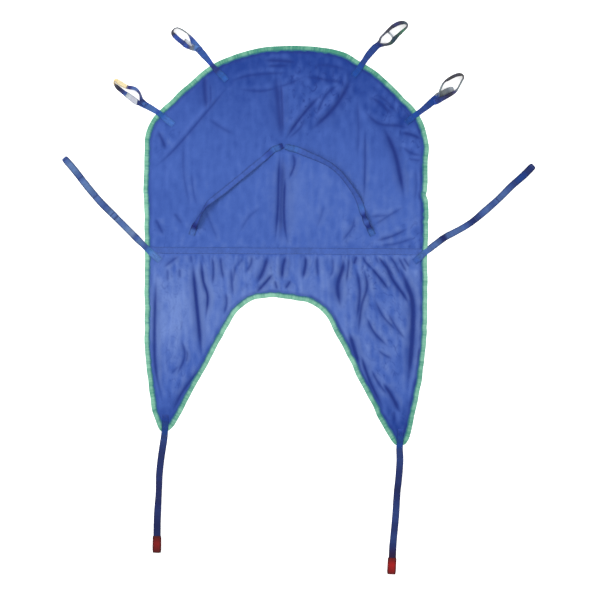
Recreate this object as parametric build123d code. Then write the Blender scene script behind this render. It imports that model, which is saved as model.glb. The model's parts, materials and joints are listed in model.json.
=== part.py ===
from build123d import *
import math
import os

os.makedirs("parts", exist_ok=True)

# A full-body patient-lift sling with divided legs and a head support, laid out flat, in millimetres.
# Seen from above, +X runs to the right, +Y towards the head and +Z up. The origin is the middle of
# the waist band's underside, on the surface that the sling lies on.

# Cloth, tape and webbing
panel_thickness = 1.0
tape_thickness = 0.75
stitch_room = 0.05
fold_room = 0.3
webbing_width = 25.0
webbing_thickness = 1.6
binding_width = 20.0
waist_band_width = 25.0
waist_seam_width = 1.0

# Upper body: straight sides, rounded shoulders and one wide arc over the head
body_half_width = 536.0
side_top = 400.0
shoulder_inset = 15.0
shoulder_rise = 83.0
crown_inset = 91.0
crown_foot = 577.0
crown_rise = 206.0
crown_shift = 5.0

# Fold lines, as distances from the waist band's middle
neck_fold = 608.0
seat_fold = 70.0
leg_fold = 205.0

# Seat and legs
side_drop = 250.0
leg_outer_bulge = 18.0
leg_tip_width = 38.0
left_tip_inset = 75.0
left_tip_drop = 688.0
right_tip_inset = 102.0
right_tip_drop = 742.0
arch_shift = -37.0
arch_drop = 178.0
arch_half_flat = 82.0
arch_crown_rise = 9.0
arch_corner_drop = 99.0
left_corner_run = 101.0
left_corner_bulge = 15.0
right_corner_run = 126.0
right_corner_bulge = 25.0

# Sewn ends of the straps, and how each strap comes down off the edge
drop_run = 12.0
upper_sewn_length = 62.0
hip_sewn_length = 60.0
leg_sewn_length = 72.0

# Quarter turn that stands an upper strap on edge before its loop
turn_length = 25.0
turn_steps = 4
upright_length = 3.0

# Upper loops, standing on edge
loop_root_radius = 2.4
loop_tip_radius = 9.0
loop_belly = 0.5
loop_gap = 0.3
tab_thickness = 1.2
tab_height = 19.0
tab_start = 10.0
band_thickness = 1.2
band_height = 23.0

# Hip straps: a base webbing with a chain of loops stitched on top
hip_loop_count = 3
hip_loop_pitch = 92.0
hip_tack_length = 14.0
hip_loop_rise = 8.0

# Coloured end loops of the leg straps
end_loop_length = 64.0
end_loop_width = 31.0
end_loop_rise = 5.0
end_tongue_length = 14.0
end_ramp_length = 20.0

# Carry handles on the back
handle_sewn_length = 40.0
handle_rise = 20.0

# Heights of the layers
panel_bottom = tape_thickness + stitch_room
panel_top = panel_bottom + panel_thickness
binding_top = panel_top + stitch_room + tape_thickness
sewn_bottom = panel_top + stitch_room
sewn_top = binding_top + stitch_room + webbing_thickness
hinge_height = webbing_thickness / 2
far = 4000.0


def rectangle_between(left, right, low, high):
    """A rectangle given by its four sides."""
    return Pos((left + right) / 2, (low + high) / 2) * Rectangle(right - left, high - low)


def plate(face, low, high):
    """A flat face given thickness between two heights."""
    return extrude(Pos(0, 0, low) * face, amount=high - low)


def across(profile, width):
    """A side profile, drawn with x along a strap and y as height, spread over a strap's width."""
    return extrude(Plane.XZ * profile, amount=width / 2, both=True)


def polygon(*points):
    """A flat face inside straight edges."""
    return make_face(Polyline(*points, close=True))


def arc_strip(start, end, low, rise, thickness):
    """A strip of webbing that bows up by rise between two points of a side profile."""
    middle = (start + end) / 2
    return make_face([
        ThreePointArc((start, low), (middle, low + rise), (end, low)),
        Line((end, low), (end, low + thickness)),
        ThreePointArc((end, low + thickness), (middle, low + rise + thickness), (start, low + thickness)),
        Line((start, low + thickness), (start, low)),
    ])


# The cut edge of the whole sling, clockwise from the foot of the left side
left_crown = (crown_shift - body_half_width + crown_inset, crown_foot)
right_crown = (crown_shift + body_half_width - crown_inset, crown_foot)
crown_top = crown_foot + crown_rise
shoulder_y = side_top + shoulder_rise
left_tip_reach = body_half_width - left_tip_inset
right_tip_reach = body_half_width - right_tip_inset
left_tip_outer = (-left_tip_reach - leg_tip_width / 2, -left_tip_drop)
left_tip_inner = (-left_tip_reach + leg_tip_width / 2, -left_tip_drop)
right_tip_outer = (right_tip_reach + leg_tip_width / 2, -right_tip_drop)
right_tip_inner = (right_tip_reach - leg_tip_width / 2, -right_tip_drop)
arch_left = (arch_shift - arch_half_flat, -arch_drop)
arch_right = (arch_shift + arch_half_flat, -arch_drop)
left_corner = (arch_left[0] - left_corner_run, -arch_drop - arch_corner_drop)
right_corner = (arch_right[0] + right_corner_run, -arch_drop - arch_corner_drop)

left_side = Line((-body_half_width, -side_drop), (-body_half_width, side_top))
left_shoulder = ThreePointArc(
    (-body_half_width, side_top),
    (-body_half_width + shoulder_inset, shoulder_y),
    left_crown,
)
crown = ThreePointArc(left_crown, (crown_shift, crown_top), right_crown)
right_shoulder = ThreePointArc(
    right_crown,
    (body_half_width - shoulder_inset, shoulder_y),
    (body_half_width, side_top),
)
right_side = Line((body_half_width, side_top), (body_half_width, -side_drop))
right_leg_outer = SagittaArc((body_half_width, -side_drop), right_tip_outer, leg_outer_bulge)
right_tip = Line(right_tip_outer, right_tip_inner)
right_leg_inner = Line(right_tip_inner, right_corner)
right_arch = SagittaArc(right_corner, arch_right, -right_corner_bulge)
arch_top = SagittaArc(arch_right, arch_left, -arch_crown_rise)
left_arch = SagittaArc(arch_left, left_corner, -left_corner_bulge)
left_leg_inner = Line(left_corner, left_tip_inner)
left_tip = Line(left_tip_inner, left_tip_outer)
left_leg_outer = SagittaArc(left_tip_outer, (-body_half_width, -side_drop), leg_outer_bulge)

outline = make_face([
    left_side, left_shoulder, crown, right_shoulder, right_side, right_leg_outer, right_tip,
    right_leg_inner, right_arch, arch_top, left_arch, left_leg_inner, left_tip, left_leg_outer,
])
inside_binding = offset(outline, amount=-binding_width, kind=Kind.INTERSECTION)
cloth = offset(outline, amount=-tape_thickness - stitch_room, kind=Kind.INTERSECTION)
tape_fold = offset(outline, amount=-tape_thickness, kind=Kind.INTERSECTION)
binding_ring = outline - inside_binding

nodes = {}

# Parts of the sling between fold lines, as regions seen from above
half_room = fold_room / 2
half_seam = waist_seam_width / 2
head_zone = rectangle_between(-far, far, neck_fold + half_room, far)
torso_zone = rectangle_between(-far, far, half_seam, neck_fold - half_room)
gather_zone = rectangle_between(-far, far, -seat_fold + half_room, -half_seam)
back_left_zone = rectangle_between(-far, 0, -seat_fold + half_room, neck_fold - half_room)
back_right_zone = rectangle_between(0, far, -seat_fold + half_room, neck_fold - half_room)
seat_zone = rectangle_between(-far, far, -leg_fold + half_room, -seat_fold - half_room)
arch_zone = rectangle_between(left_corner[0], right_corner[0], -leg_fold + half_room, -seat_fold)
left_leg_zone = rectangle_between(-far, arch_shift, -far, -leg_fold - half_room)
right_leg_zone = rectangle_between(arch_shift, far, -far, -leg_fold - half_room)

# Cloth panels
panel_zones = {
    "head_panel": head_zone,
    "torso_panel": torso_zone,
    "gathered_seat_top": gather_zone,
    "seat_panel": seat_zone,
    "leg_panel_left": left_leg_zone,
    "leg_panel_right": right_leg_zone,
}
for name, zone in panel_zones.items():
    nodes[name] = plate(cloth & zone, panel_bottom, panel_top)

# Edge binding, a tape folded over the cloth's edge
left_outer_zone = rectangle_between(-far, -left_tip_reach, -far, -leg_fold - half_room)
left_inner_zone = rectangle_between(-left_tip_reach, arch_shift, -far, -leg_fold - half_room)
right_outer_zone = rectangle_between(right_tip_reach, far, -far, -leg_fold - half_room)
right_inner_zone = rectangle_between(arch_shift, right_tip_reach, -far, -leg_fold - half_room)
binding_zones = {
    "binding_head": head_zone,
    "binding_back_left": back_left_zone,
    "binding_back_right": back_right_zone,
    "binding_seat_left": seat_zone & rectangle_between(-far, left_corner[0], -far, far),
    "binding_seat_right": seat_zone & rectangle_between(right_corner[0], far, -far, far),
    "binding_arch": arch_zone,
    "binding_leg_left_outer": left_outer_zone,
    "binding_leg_left_inner": left_inner_zone,
    "binding_leg_right_outer": right_outer_zone,
    "binding_leg_right_inner": right_inner_zone,
}
for name, zone in binding_zones.items():
    folded_tape = plate(binding_ring & zone, 0, binding_top)
    nodes[name] = folded_tape - plate(tape_fold, panel_bottom - stitch_room, panel_top + stitch_room)

# Waist band, one tape over and one under the seam, joined along the seam
band_half_length = body_half_width - binding_width - stitch_room
band_face = Rectangle(2 * band_half_length, waist_band_width)
seam_face = Rectangle(2 * band_half_length, waist_seam_width - 2 * stitch_room)
band_slot = plate(band_face - seam_face, panel_bottom - stitch_room, panel_top + stitch_room)
nodes["waist_band"] = plate(band_face, 0, binding_top) - band_slot

# What the straps' sewn ends are stitched over
edge_and_band = plate(binding_ring + band_face, 0, binding_top + stitch_room)


def bearing_of(direction):
    """The compass-like angle of a direction, in degrees anticlockwise from +X."""
    return math.degrees(math.atan2(direction.Y, direction.X))


def edge_root(edge, share):
    """A point on the cut edge, and the bearing that points straight out of the cloth there."""
    return edge @ share, bearing_of(edge % share) + 90


def along(place, bearing, distance):
    """A point at a distance from a place, on a bearing."""
    angle = math.radians(bearing)
    return (place.X + distance * math.cos(angle), place.Y + distance * math.sin(angle))


def hinge_distance(lean):
    """How far outside the edge a strap bends, for a strap that leans off the edge's normal."""
    corner = webbing_width / 2 * math.tan(math.radians(abs(lean)))
    return corner + drop_run + fold_room + webbing_thickness / 2


def sewn_end(root, bearing, lean, sewn_length):
    """The stitched end of a strap: turned under on the cloth, over the binding, down to the floor."""
    foot = hinge_distance(lean) - fold_room - webbing_thickness / 2
    side = polygon(
        (-sewn_length, sewn_bottom),
        (foot - drop_run, sewn_bottom),
        (foot, 0),
        (foot, webbing_thickness),
        (foot - drop_run, sewn_top),
        (-sewn_length, sewn_top),
    )
    return Location((root.X, root.Y, 0), (0, 0, bearing)) * across(side, webbing_width) - edge_and_band


def flat_webbing(length):
    """Webbing lying flat from a rounded bending end at x = 0."""
    run = across(rectangle_between(0, length, 0, webbing_thickness), webbing_width)
    rounded = across(Pos(0, hinge_height) * Circle(webbing_thickness / 2), webbing_width)
    return run + rounded


def turn_corners(x, angle):
    """The webbing's four corners at one station of the quarter turn."""
    width_way = Vector(0, math.cos(angle), math.sin(angle))
    thick_way = Vector(0, -math.sin(angle), math.cos(angle))
    height = webbing_width / 2 * math.sin(angle) + webbing_thickness / 2 * math.cos(angle)
    centre = Vector(x, 0, height)
    signs = ((-1, -1), (1, -1), (1, 1), (-1, 1))
    half_width = width_way * (webbing_width / 2)
    half_thick = thick_way * (webbing_thickness / 2)
    return [centre + half_width * a + half_thick * b for a, b in signs]


def quarter_turn(start):
    """Webbing that turns from flat to standing on edge in flat facets, its lower edge on the floor."""
    stations = []
    for step in range(turn_steps + 1):
        share = step / turn_steps
        stations.append(turn_corners(start + turn_length * share, math.pi / 2 * share))
    faces = [Face(Wire.make_polygon(stations[0])), Face(Wire.make_polygon(stations[-1]))]
    for near, beyond in zip(stations, stations[1:]):
        for corner in range(4):
            following = (corner + 1) % 4
            faces.append(Face(Wire.make_polygon([near[corner], near[following], beyond[following]])))
            faces.append(Face(Wire.make_polygon([near[corner], beyond[following], beyond[corner]])))
    return Solid(Shell(faces))


def upper_strap(reach):
    """A short strap that lies flat, turns on edge and stops where its loop swings."""
    end = reach - loop_root_radius - loop_gap
    turn_start = end - upright_length - turn_length
    upright_face = rectangle_between(end - upright_length, end, -webbing_thickness / 2, webbing_thickness / 2)
    return flat_webbing(turn_start) + quarter_turn(turn_start) + plate(upright_face, 0, webbing_width)


def loop_outline(length, width):
    """A slack loop of webbing seen on edge: tight root at x = 0, full belly and rounded tip."""
    root = Circle(loop_root_radius)
    belly = Pos(length * loop_belly, 0) * Circle(width / 2)
    tip = Pos(length - loop_tip_radius, 0) * Circle(loop_tip_radius)
    return make_hull(root.edges() + belly.edges() + tip.edges())


def upper_loop(shape):
    """The loop's webbing, standing on edge."""
    ring = shape - offset(shape, amount=-webbing_thickness)
    return plate(ring, 0, webbing_width)


def side_tab(shape, length, side):
    """A plain tab stitched inside the loop along one ply, or a bridge across it when side is 0."""
    eye = offset(shape, amount=-webbing_thickness)
    low = (webbing_width - tab_height) / 2
    if side == 0:
        tab = eye & rectangle_between(length, length + tab_thickness, -far, far)
    else:
        strip = eye - Pos(0, -side * tab_thickness) * eye
        tab = strip & rectangle_between(tab_start, tab_start + length, *sorted((0, side * far)))
    return plate(tab, low, low + tab_height)


def colour_band(shape, loop_length, band_length):
    """The coloured webbing wrapped round the loop's tip."""
    sleeve = offset(shape, amount=band_thickness) - shape
    reach = rectangle_between(loop_length - band_length, far, -far, far)
    low = (webbing_width - band_height) / 2
    return plate(sleeve & reach, low, low + band_height)


# Upper straps: where each leaves the edge, its bearing and reach, and its loop
upper_straps = {
    "head_left": dict(
        edge=crown, share=0.21, bearing=134.0, reach=126.0,
        kink=10.0, loop=96.0, width=34.0, tab=32.0, side=1, band=34.0,
    ),
    "head_right": dict(
        edge=crown, share=0.80, bearing=48.0, reach=94.0,
        kink=-15.0, loop=130.0, width=42.0, tab=46.0, side=0, band=50.0,
    ),
    "shoulder_left": dict(
        edge=left_shoulder, share=0.66, bearing=146.0, reach=87.0,
        kink=1.0, loop=119.0, width=42.0, tab=48.0, side=1, band=42.0,
    ),
    "shoulder_right": dict(
        edge=right_shoulder, share=0.34, bearing=41.0, reach=94.0,
        kink=0.0, loop=134.0, width=54.0, tab=60.0, side=-1, band=52.0,
    ),
}
joints = {}
for name, strap in upper_straps.items():
    root, normal = edge_root(strap["edge"], strap["share"])
    lean = strap["bearing"] - normal
    bend = hinge_distance(lean)
    hinge = along(root, strap["bearing"], bend)
    pivot = along(root, strap["bearing"], strap["reach"])
    strap_place = Location((hinge[0], hinge[1], 0), (0, 0, strap["bearing"]))
    loop_place = Location((pivot[0], pivot[1], 0), (0, 0, strap["bearing"] + strap["kink"]))
    shape = loop_outline(strap["loop"], strap["width"])
    nodes["sewn_end_" + name] = sewn_end(root, strap["bearing"], lean, upper_sewn_length)
    nodes["strap_" + name] = strap_place * upper_strap(strap["reach"] - bend)
    nodes["loop_" + name] = loop_place * upper_loop(shape)
    nodes["tab_" + name] = loop_place * side_tab(shape, strap["tab"], strap["side"])
    nodes["colour_band_" + name] = loop_place * colour_band(shape, strap["loop"], strap["band"])
    joints["strap_" + name] = dict(hinge=hinge, bearing=strap["bearing"])
    joints["loop_" + name] = dict(pivot=pivot, bearing=strap["bearing"] + strap["kink"])


def hip_loops(length):
    """The top webbing of a hip strap, stitched down between its bowed loops."""
    low = webbing_thickness + stitch_room
    start = length - hip_loop_count * hip_loop_pitch - hip_tack_length
    side = rectangle_between(start, start + hip_tack_length, low, low + webbing_thickness)
    for turn in range(hip_loop_count):
        loop_start = start + hip_tack_length + turn * hip_loop_pitch
        loop_end = loop_start + hip_loop_pitch - hip_tack_length
        side += arc_strip(loop_start, loop_end, low, hip_loop_rise, webbing_thickness)
        side += rectangle_between(loop_end, loop_end + hip_tack_length, low, low + webbing_thickness)
    return across(side, webbing_width)


# Hip straps: height of the root above the waist, bearing and length from the edge
hip_straps = {
    "left": dict(root=Vector(-body_half_width, 4), normal=180.0, bearing=131.5, length=466.0),
    "right": dict(root=Vector(body_half_width, -11), normal=0.0, bearing=39.5, length=521.0),
}
for name, strap in hip_straps.items():
    lean = strap["bearing"] - strap["normal"]
    bend = hinge_distance(lean)
    hinge = along(strap["root"], strap["bearing"], bend)
    place = Location((hinge[0], hinge[1], 0), (0, 0, strap["bearing"]))
    free_length = strap["length"] - bend
    nodes["sewn_end_hip_" + name] = sewn_end(strap["root"], strap["bearing"], lean, hip_sewn_length)
    nodes["strap_hip_" + name] = place * flat_webbing(free_length)
    nodes["loops_hip_" + name] = place * hip_loops(free_length)
    joints["strap_hip_" + name] = dict(hinge=hinge, bearing=strap["bearing"], length=free_length)


def leg_strap(length):
    """A long flat strap whose end rises to a tongue between the two plies of its end loop."""
    ramp_end = length - end_loop_length
    ramp_start = ramp_end - end_ramp_length
    lift = webbing_thickness + stitch_room
    tongue_end = ramp_end + end_tongue_length
    rise = polygon(
        (ramp_start, 0),
        (ramp_end, lift),
        (tongue_end, lift),
        (tongue_end, lift + webbing_thickness),
        (ramp_end, lift + webbing_thickness),
        (ramp_start, webbing_thickness),
    )
    return flat_webbing(ramp_start) + across(rise, webbing_width)


def end_loop(length):
    """Coloured webbing folded over the tongue and stitched through it, with an open eye beyond."""
    start = length - end_loop_length
    eye_start = start + end_tongue_length
    top = 2 * (webbing_thickness + stitch_room)
    fold_radius = (top + webbing_thickness) / 2
    eye_end = length - fold_radius
    fold = Pos(eye_end, fold_radius) * (Circle(fold_radius) - Circle(fold_radius - webbing_thickness))
    side = rectangle_between(start, eye_end, 0, webbing_thickness)
    side += rectangle_between(start, eye_start, top, top + webbing_thickness)
    side += arc_strip(eye_start, eye_end, top, end_loop_rise, webbing_thickness)
    side += fold & rectangle_between(eye_end, length, -far, far)
    return across(side, end_loop_width)


# Leg straps: where each leaves its leg's tip, its bearing and its length with the end loop
leg_straps = {
    "left": dict(root=left_tip @ 0.5, bearing=267.1, length=461.0),
    "right": dict(root=right_tip @ 0.5, bearing=266.3, length=489.0),
}
for name, strap in leg_straps.items():
    lean = strap["bearing"] - 270.0
    bend = hinge_distance(lean)
    hinge = along(strap["root"], strap["bearing"], bend)
    place = Location((hinge[0], hinge[1], 0), (0, 0, strap["bearing"]))
    free_length = strap["length"] - bend
    nodes["sewn_end_leg_" + name] = sewn_end(strap["root"], strap["bearing"], lean, leg_sewn_length)
    nodes["strap_leg_" + name] = place * leg_strap(free_length)
    nodes["end_loop_leg_" + name] = place * end_loop(free_length)
    joints["strap_leg_" + name] = dict(hinge=hinge, bearing=strap["bearing"], length=free_length)


def handle(start, end, bow):
    """A carry handle: webbing sewn flat at both ends and bowed up off the cloth between them."""
    chord = Vector(end[0] - start[0], end[1] - start[1])
    length = chord.length
    seen_from_above = Rectangle(length, webbing_width)
    if bow:
        seen_from_above = trace(SagittaArc((-length / 2, 0), (length / 2, 0), bow), webbing_width)
    low = -length / 2 + handle_sewn_length
    side = rectangle_between(-far, low, sewn_bottom, sewn_bottom + webbing_thickness)
    side += arc_strip(low, -low, sewn_bottom, handle_rise, webbing_thickness)
    side += rectangle_between(-low, far, sewn_bottom, sewn_bottom + webbing_thickness)
    ribbon = plate(seen_from_above, 0, handle_rise + sewn_top) & across(side, far)
    middle = ((start[0] + end[0]) / 2, (start[1] + end[1]) / 2, 0)
    return Location(middle, (0, 0, bearing_of(chord))) * ribbon


# Carry handles: inner and outer end of each, and how far it bows sideways
handles = {
    "left": dict(start=(-25.0, 391.0), end=(-362.0, 75.0), bow=0.0),
    "right": dict(start=(25.0, 391.0), end=(322.0, 62.0), bow=60.0),
}
for name, grip in handles.items():
    nodes["handle_" + name] = handle(grip["start"], grip["end"], grip["bow"])

for name, solid in nodes.items():
    solid.label = name
    export_step(solid, "parts/" + name + ".step")
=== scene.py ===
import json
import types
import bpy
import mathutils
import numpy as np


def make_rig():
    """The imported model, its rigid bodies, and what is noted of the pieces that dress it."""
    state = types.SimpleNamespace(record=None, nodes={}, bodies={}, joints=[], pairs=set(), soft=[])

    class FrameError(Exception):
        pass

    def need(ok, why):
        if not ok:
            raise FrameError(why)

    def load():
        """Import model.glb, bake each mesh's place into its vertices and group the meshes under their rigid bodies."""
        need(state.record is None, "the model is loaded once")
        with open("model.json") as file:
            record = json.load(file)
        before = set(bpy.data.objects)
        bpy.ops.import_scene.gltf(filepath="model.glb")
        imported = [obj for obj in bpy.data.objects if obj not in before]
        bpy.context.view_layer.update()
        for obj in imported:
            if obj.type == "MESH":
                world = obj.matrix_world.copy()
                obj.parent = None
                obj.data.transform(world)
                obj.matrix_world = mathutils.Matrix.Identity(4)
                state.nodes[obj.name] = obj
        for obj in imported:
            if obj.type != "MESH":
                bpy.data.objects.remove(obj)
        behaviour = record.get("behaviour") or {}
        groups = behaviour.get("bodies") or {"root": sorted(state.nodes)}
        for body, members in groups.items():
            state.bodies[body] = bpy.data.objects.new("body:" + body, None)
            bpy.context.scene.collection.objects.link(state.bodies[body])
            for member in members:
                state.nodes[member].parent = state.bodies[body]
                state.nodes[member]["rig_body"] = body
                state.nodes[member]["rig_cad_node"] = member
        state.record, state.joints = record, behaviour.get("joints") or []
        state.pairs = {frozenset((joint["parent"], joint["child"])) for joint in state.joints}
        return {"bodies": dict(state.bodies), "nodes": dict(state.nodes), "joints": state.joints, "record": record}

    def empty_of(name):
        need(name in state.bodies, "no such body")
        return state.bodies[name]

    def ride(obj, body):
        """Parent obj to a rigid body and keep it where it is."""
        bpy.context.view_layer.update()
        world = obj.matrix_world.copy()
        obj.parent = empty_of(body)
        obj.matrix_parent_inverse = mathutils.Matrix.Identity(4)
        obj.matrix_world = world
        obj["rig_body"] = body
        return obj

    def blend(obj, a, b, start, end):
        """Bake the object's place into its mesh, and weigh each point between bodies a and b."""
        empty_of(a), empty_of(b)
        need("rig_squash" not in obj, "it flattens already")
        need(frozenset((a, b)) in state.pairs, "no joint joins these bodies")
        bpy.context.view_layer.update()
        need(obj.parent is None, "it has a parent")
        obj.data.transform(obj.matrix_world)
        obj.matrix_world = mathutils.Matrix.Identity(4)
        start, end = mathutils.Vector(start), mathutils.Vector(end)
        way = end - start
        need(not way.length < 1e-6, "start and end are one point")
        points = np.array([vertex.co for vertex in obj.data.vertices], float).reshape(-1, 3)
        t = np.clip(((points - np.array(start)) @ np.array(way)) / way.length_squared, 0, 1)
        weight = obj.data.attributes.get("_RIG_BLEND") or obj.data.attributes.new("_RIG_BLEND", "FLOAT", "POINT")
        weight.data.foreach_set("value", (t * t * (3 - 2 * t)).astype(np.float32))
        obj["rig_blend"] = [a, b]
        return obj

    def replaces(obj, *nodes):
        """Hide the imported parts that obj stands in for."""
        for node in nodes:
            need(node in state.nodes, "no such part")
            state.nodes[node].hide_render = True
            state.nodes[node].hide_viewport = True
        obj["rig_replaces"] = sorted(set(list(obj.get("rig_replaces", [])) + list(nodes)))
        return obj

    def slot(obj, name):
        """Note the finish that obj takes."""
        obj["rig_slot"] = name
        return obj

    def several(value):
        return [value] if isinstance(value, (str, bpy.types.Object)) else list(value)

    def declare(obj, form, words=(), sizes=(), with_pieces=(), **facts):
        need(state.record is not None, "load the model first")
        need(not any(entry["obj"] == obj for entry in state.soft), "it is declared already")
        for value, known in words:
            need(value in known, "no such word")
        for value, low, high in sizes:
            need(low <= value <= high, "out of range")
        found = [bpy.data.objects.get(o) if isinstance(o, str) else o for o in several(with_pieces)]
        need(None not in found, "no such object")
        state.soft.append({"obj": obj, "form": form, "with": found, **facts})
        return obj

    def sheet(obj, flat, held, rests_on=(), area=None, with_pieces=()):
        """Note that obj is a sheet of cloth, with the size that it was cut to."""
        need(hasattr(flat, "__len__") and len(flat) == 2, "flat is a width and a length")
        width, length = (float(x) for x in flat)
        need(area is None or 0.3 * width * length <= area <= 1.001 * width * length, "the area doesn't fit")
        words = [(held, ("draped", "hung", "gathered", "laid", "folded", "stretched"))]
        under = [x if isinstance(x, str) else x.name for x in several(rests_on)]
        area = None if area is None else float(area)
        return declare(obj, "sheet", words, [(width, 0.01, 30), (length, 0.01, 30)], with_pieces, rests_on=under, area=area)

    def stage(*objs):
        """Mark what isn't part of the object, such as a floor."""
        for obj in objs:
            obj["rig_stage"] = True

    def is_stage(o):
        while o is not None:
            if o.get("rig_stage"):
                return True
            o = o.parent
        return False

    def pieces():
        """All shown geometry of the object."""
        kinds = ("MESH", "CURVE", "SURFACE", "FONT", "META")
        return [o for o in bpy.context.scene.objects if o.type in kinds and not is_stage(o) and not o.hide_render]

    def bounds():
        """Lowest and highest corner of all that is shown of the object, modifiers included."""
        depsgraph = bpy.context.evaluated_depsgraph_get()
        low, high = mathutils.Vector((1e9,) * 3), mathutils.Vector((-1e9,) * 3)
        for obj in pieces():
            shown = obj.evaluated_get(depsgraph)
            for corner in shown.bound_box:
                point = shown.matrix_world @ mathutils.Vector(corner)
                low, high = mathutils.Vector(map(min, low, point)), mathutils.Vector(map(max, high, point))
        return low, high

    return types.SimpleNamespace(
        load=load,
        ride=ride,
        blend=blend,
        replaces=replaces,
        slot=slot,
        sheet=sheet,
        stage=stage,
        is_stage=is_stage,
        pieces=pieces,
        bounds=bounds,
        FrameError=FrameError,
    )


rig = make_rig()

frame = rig.load()
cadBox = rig.bounds()

import json
import math
import bmesh
import bpy
import numpy as np
from mathutils import Vector

# A patient-lift sling laid out flat, in metres: +X to the right, +Y to the head, +Z up
scene = bpy.context.scene
mm = 0.001
print("frame loaded,", len(frame["nodes"]), "nodes")

# Camera straight above, its picture a little below the waist band
viewPoint = dict(across=0.053, along=-0.186, height=8.0, lens=126.3, sensor=36.0)
cameraData = bpy.data.cameras.new("camera")
cameraData.lens = viewPoint["lens"]
cameraData.sensor_width = viewPoint["sensor"]
camera = bpy.data.objects.new("camera", cameraData)
camera.location = (viewPoint["across"], viewPoint["along"], viewPoint["height"])
scene.collection.objects.link(camera)
scene.camera = camera
print("camera placed")

# Soft studio light: a pale world and two large lamps, the main one low on the upper left
studio = dict(
    world=1.0,
    lamps=[
        dict(name="mainLamp", place=(-3.6, 2.8, 4.0), size=2.4, power=170.0),
        dict(name="fillLamp", place=(3.2, -1.0, 4.8), size=3.0, power=60.0),
    ],
    floorReach=40.0,
    floorColour=(0.93, 0.93, 0.93),
    floorGlow=0.55,
    strength=1.346, gloss=0.014,
)
scene.view_settings.view_transform = "Standard"
world = bpy.data.worlds.new("paleWorld")
world.use_nodes = True
world.node_tree.nodes["Background"].inputs["Color"].default_value = (1, 1, 1, 1)
world.node_tree.nodes["Background"].inputs["Strength"].default_value = studio["world"]
scene.world = world
for lamp in studio["lamps"]:
    lampData = bpy.data.lights.new(lamp["name"], "AREA")
    lampData.shape = "DISK"
    lampData.size = lamp["size"]
    lampData.energy = lamp["power"]
    lampObject = bpy.data.objects.new(lamp["name"], lampData)
    lampObject.location = lamp["place"]
    towards = -np.array(lamp["place"])
    lampObject.rotation_euler = Vector(towards).to_track_quat("-Z", "Y").to_euler()
    scene.collection.objects.link(lampObject)


def linear(red, green, blue):
    # from display values 0 to 255 to light values: ((c + 0.055) / 1.055) to the power 2.4
    c = np.array([red, green, blue]) / 255
    return tuple(np.where(c < 0.04045, c / 12.92, ((c + 0.055) / 1.055) ** 2.4))


def dyeOf(red, green, blue):
    # the dye that shows as these display values under the studio light: (light value - gloss) / strength
    shown = np.array(linear(red, green, blue))
    return tuple(np.clip((shown - studio["gloss"]) / studio["strength"], 0.001, 1))


def easeBetween(low, high, value):
    # 3 t squared less 2 t cubed, t being the share of the way from low to high
    t = np.clip((value - low) / (high - low), 0, 1)
    return t * t * (3 - 2 * t)


def evenSteps(track, spacing, depth=2):
    # the same line with its points at even distances, the length taken in its first columns
    steps = np.linalg.norm(np.diff(track[:, :depth], axis=0), axis=1)
    run = np.concatenate([[0], np.cumsum(steps)])
    count = max(2, int(round(run[-1] / spacing)) + 1)
    even = np.linspace(0, run[-1], count)
    return np.stack([np.interp(even, run, column) for column in track.T], 1)


def smoothPath(points, spacing, depth=2, closed=False):
    # Catmull-Rom curve through the points: half of 2b + (c - a) t + (2a - 5b + 4c - d) t^2
    # + (3b - a - 3c + d) t^3 between b and c, then set out in even steps
    p = np.asarray(points, float)
    if closed:
        p = np.vstack([p, p[:1]])
        a, d = np.vstack([p[-2:-1], p[:-2]]), np.vstack([p[2:], p[1:2]])
    else:
        a, d = np.vstack([2 * p[:1] - p[1:2], p[:-2]]), np.vstack([p[2:], 2 * p[-1:] - p[-2:-1]])
    b, c = p[:-1], p[1:]
    t = np.linspace(0, 1, 17)[:-1, None, None]
    curve = 0.5 * (2 * b + (c - a) * t + (2 * a - 5 * b + 4 * c - d) * t**2 + (3 * b - a - 3 * c + d) * t**3)
    curve = curve.transpose(1, 0, 2).reshape(-1, p.shape[1])
    return evenSteps(np.vstack([curve, p[-1:]]), spacing, depth)


def arcThrough(start, middle, end, count=80):
    # the circle through three points, walked from the first to the last
    a, b, c = (np.array(q, float) for q in (start, middle, end))
    centre = np.linalg.solve(2 * np.array([b - a, c - a]), [b @ b - a @ a, c @ c - a @ a])
    turn = [math.atan2(*(q - centre)[::-1]) for q in (a, b, c)]
    half = (turn[1] - turn[0] + math.pi) % (2 * math.pi) - math.pi
    angles = turn[0] + np.linspace(0, 2 * half, count)
    return centre + np.linalg.norm(a - centre) * np.stack([np.cos(angles), np.sin(angles)], 1)


def directionsOf(track):
    # unit tangents from central differences
    t = np.gradient(track, axis=0)
    return t / np.maximum(np.linalg.norm(t, axis=1, keepdims=True), 1e-9)


def gridQuads(rows, columns, closed=False):
    # corners (i, j), (i, j+1), (i+1, j+1), (i+1, j) of every cell; closed joins the last column to the first
    number = np.arange(rows * columns).reshape(rows, columns)
    if closed:
        number = np.hstack([number, number[:, :1]])
    return np.stack([number[:-1, :-1], number[:-1, 1:], number[1:, 1:], number[1:, :-1]], -1).reshape(-1, 4)


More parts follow.
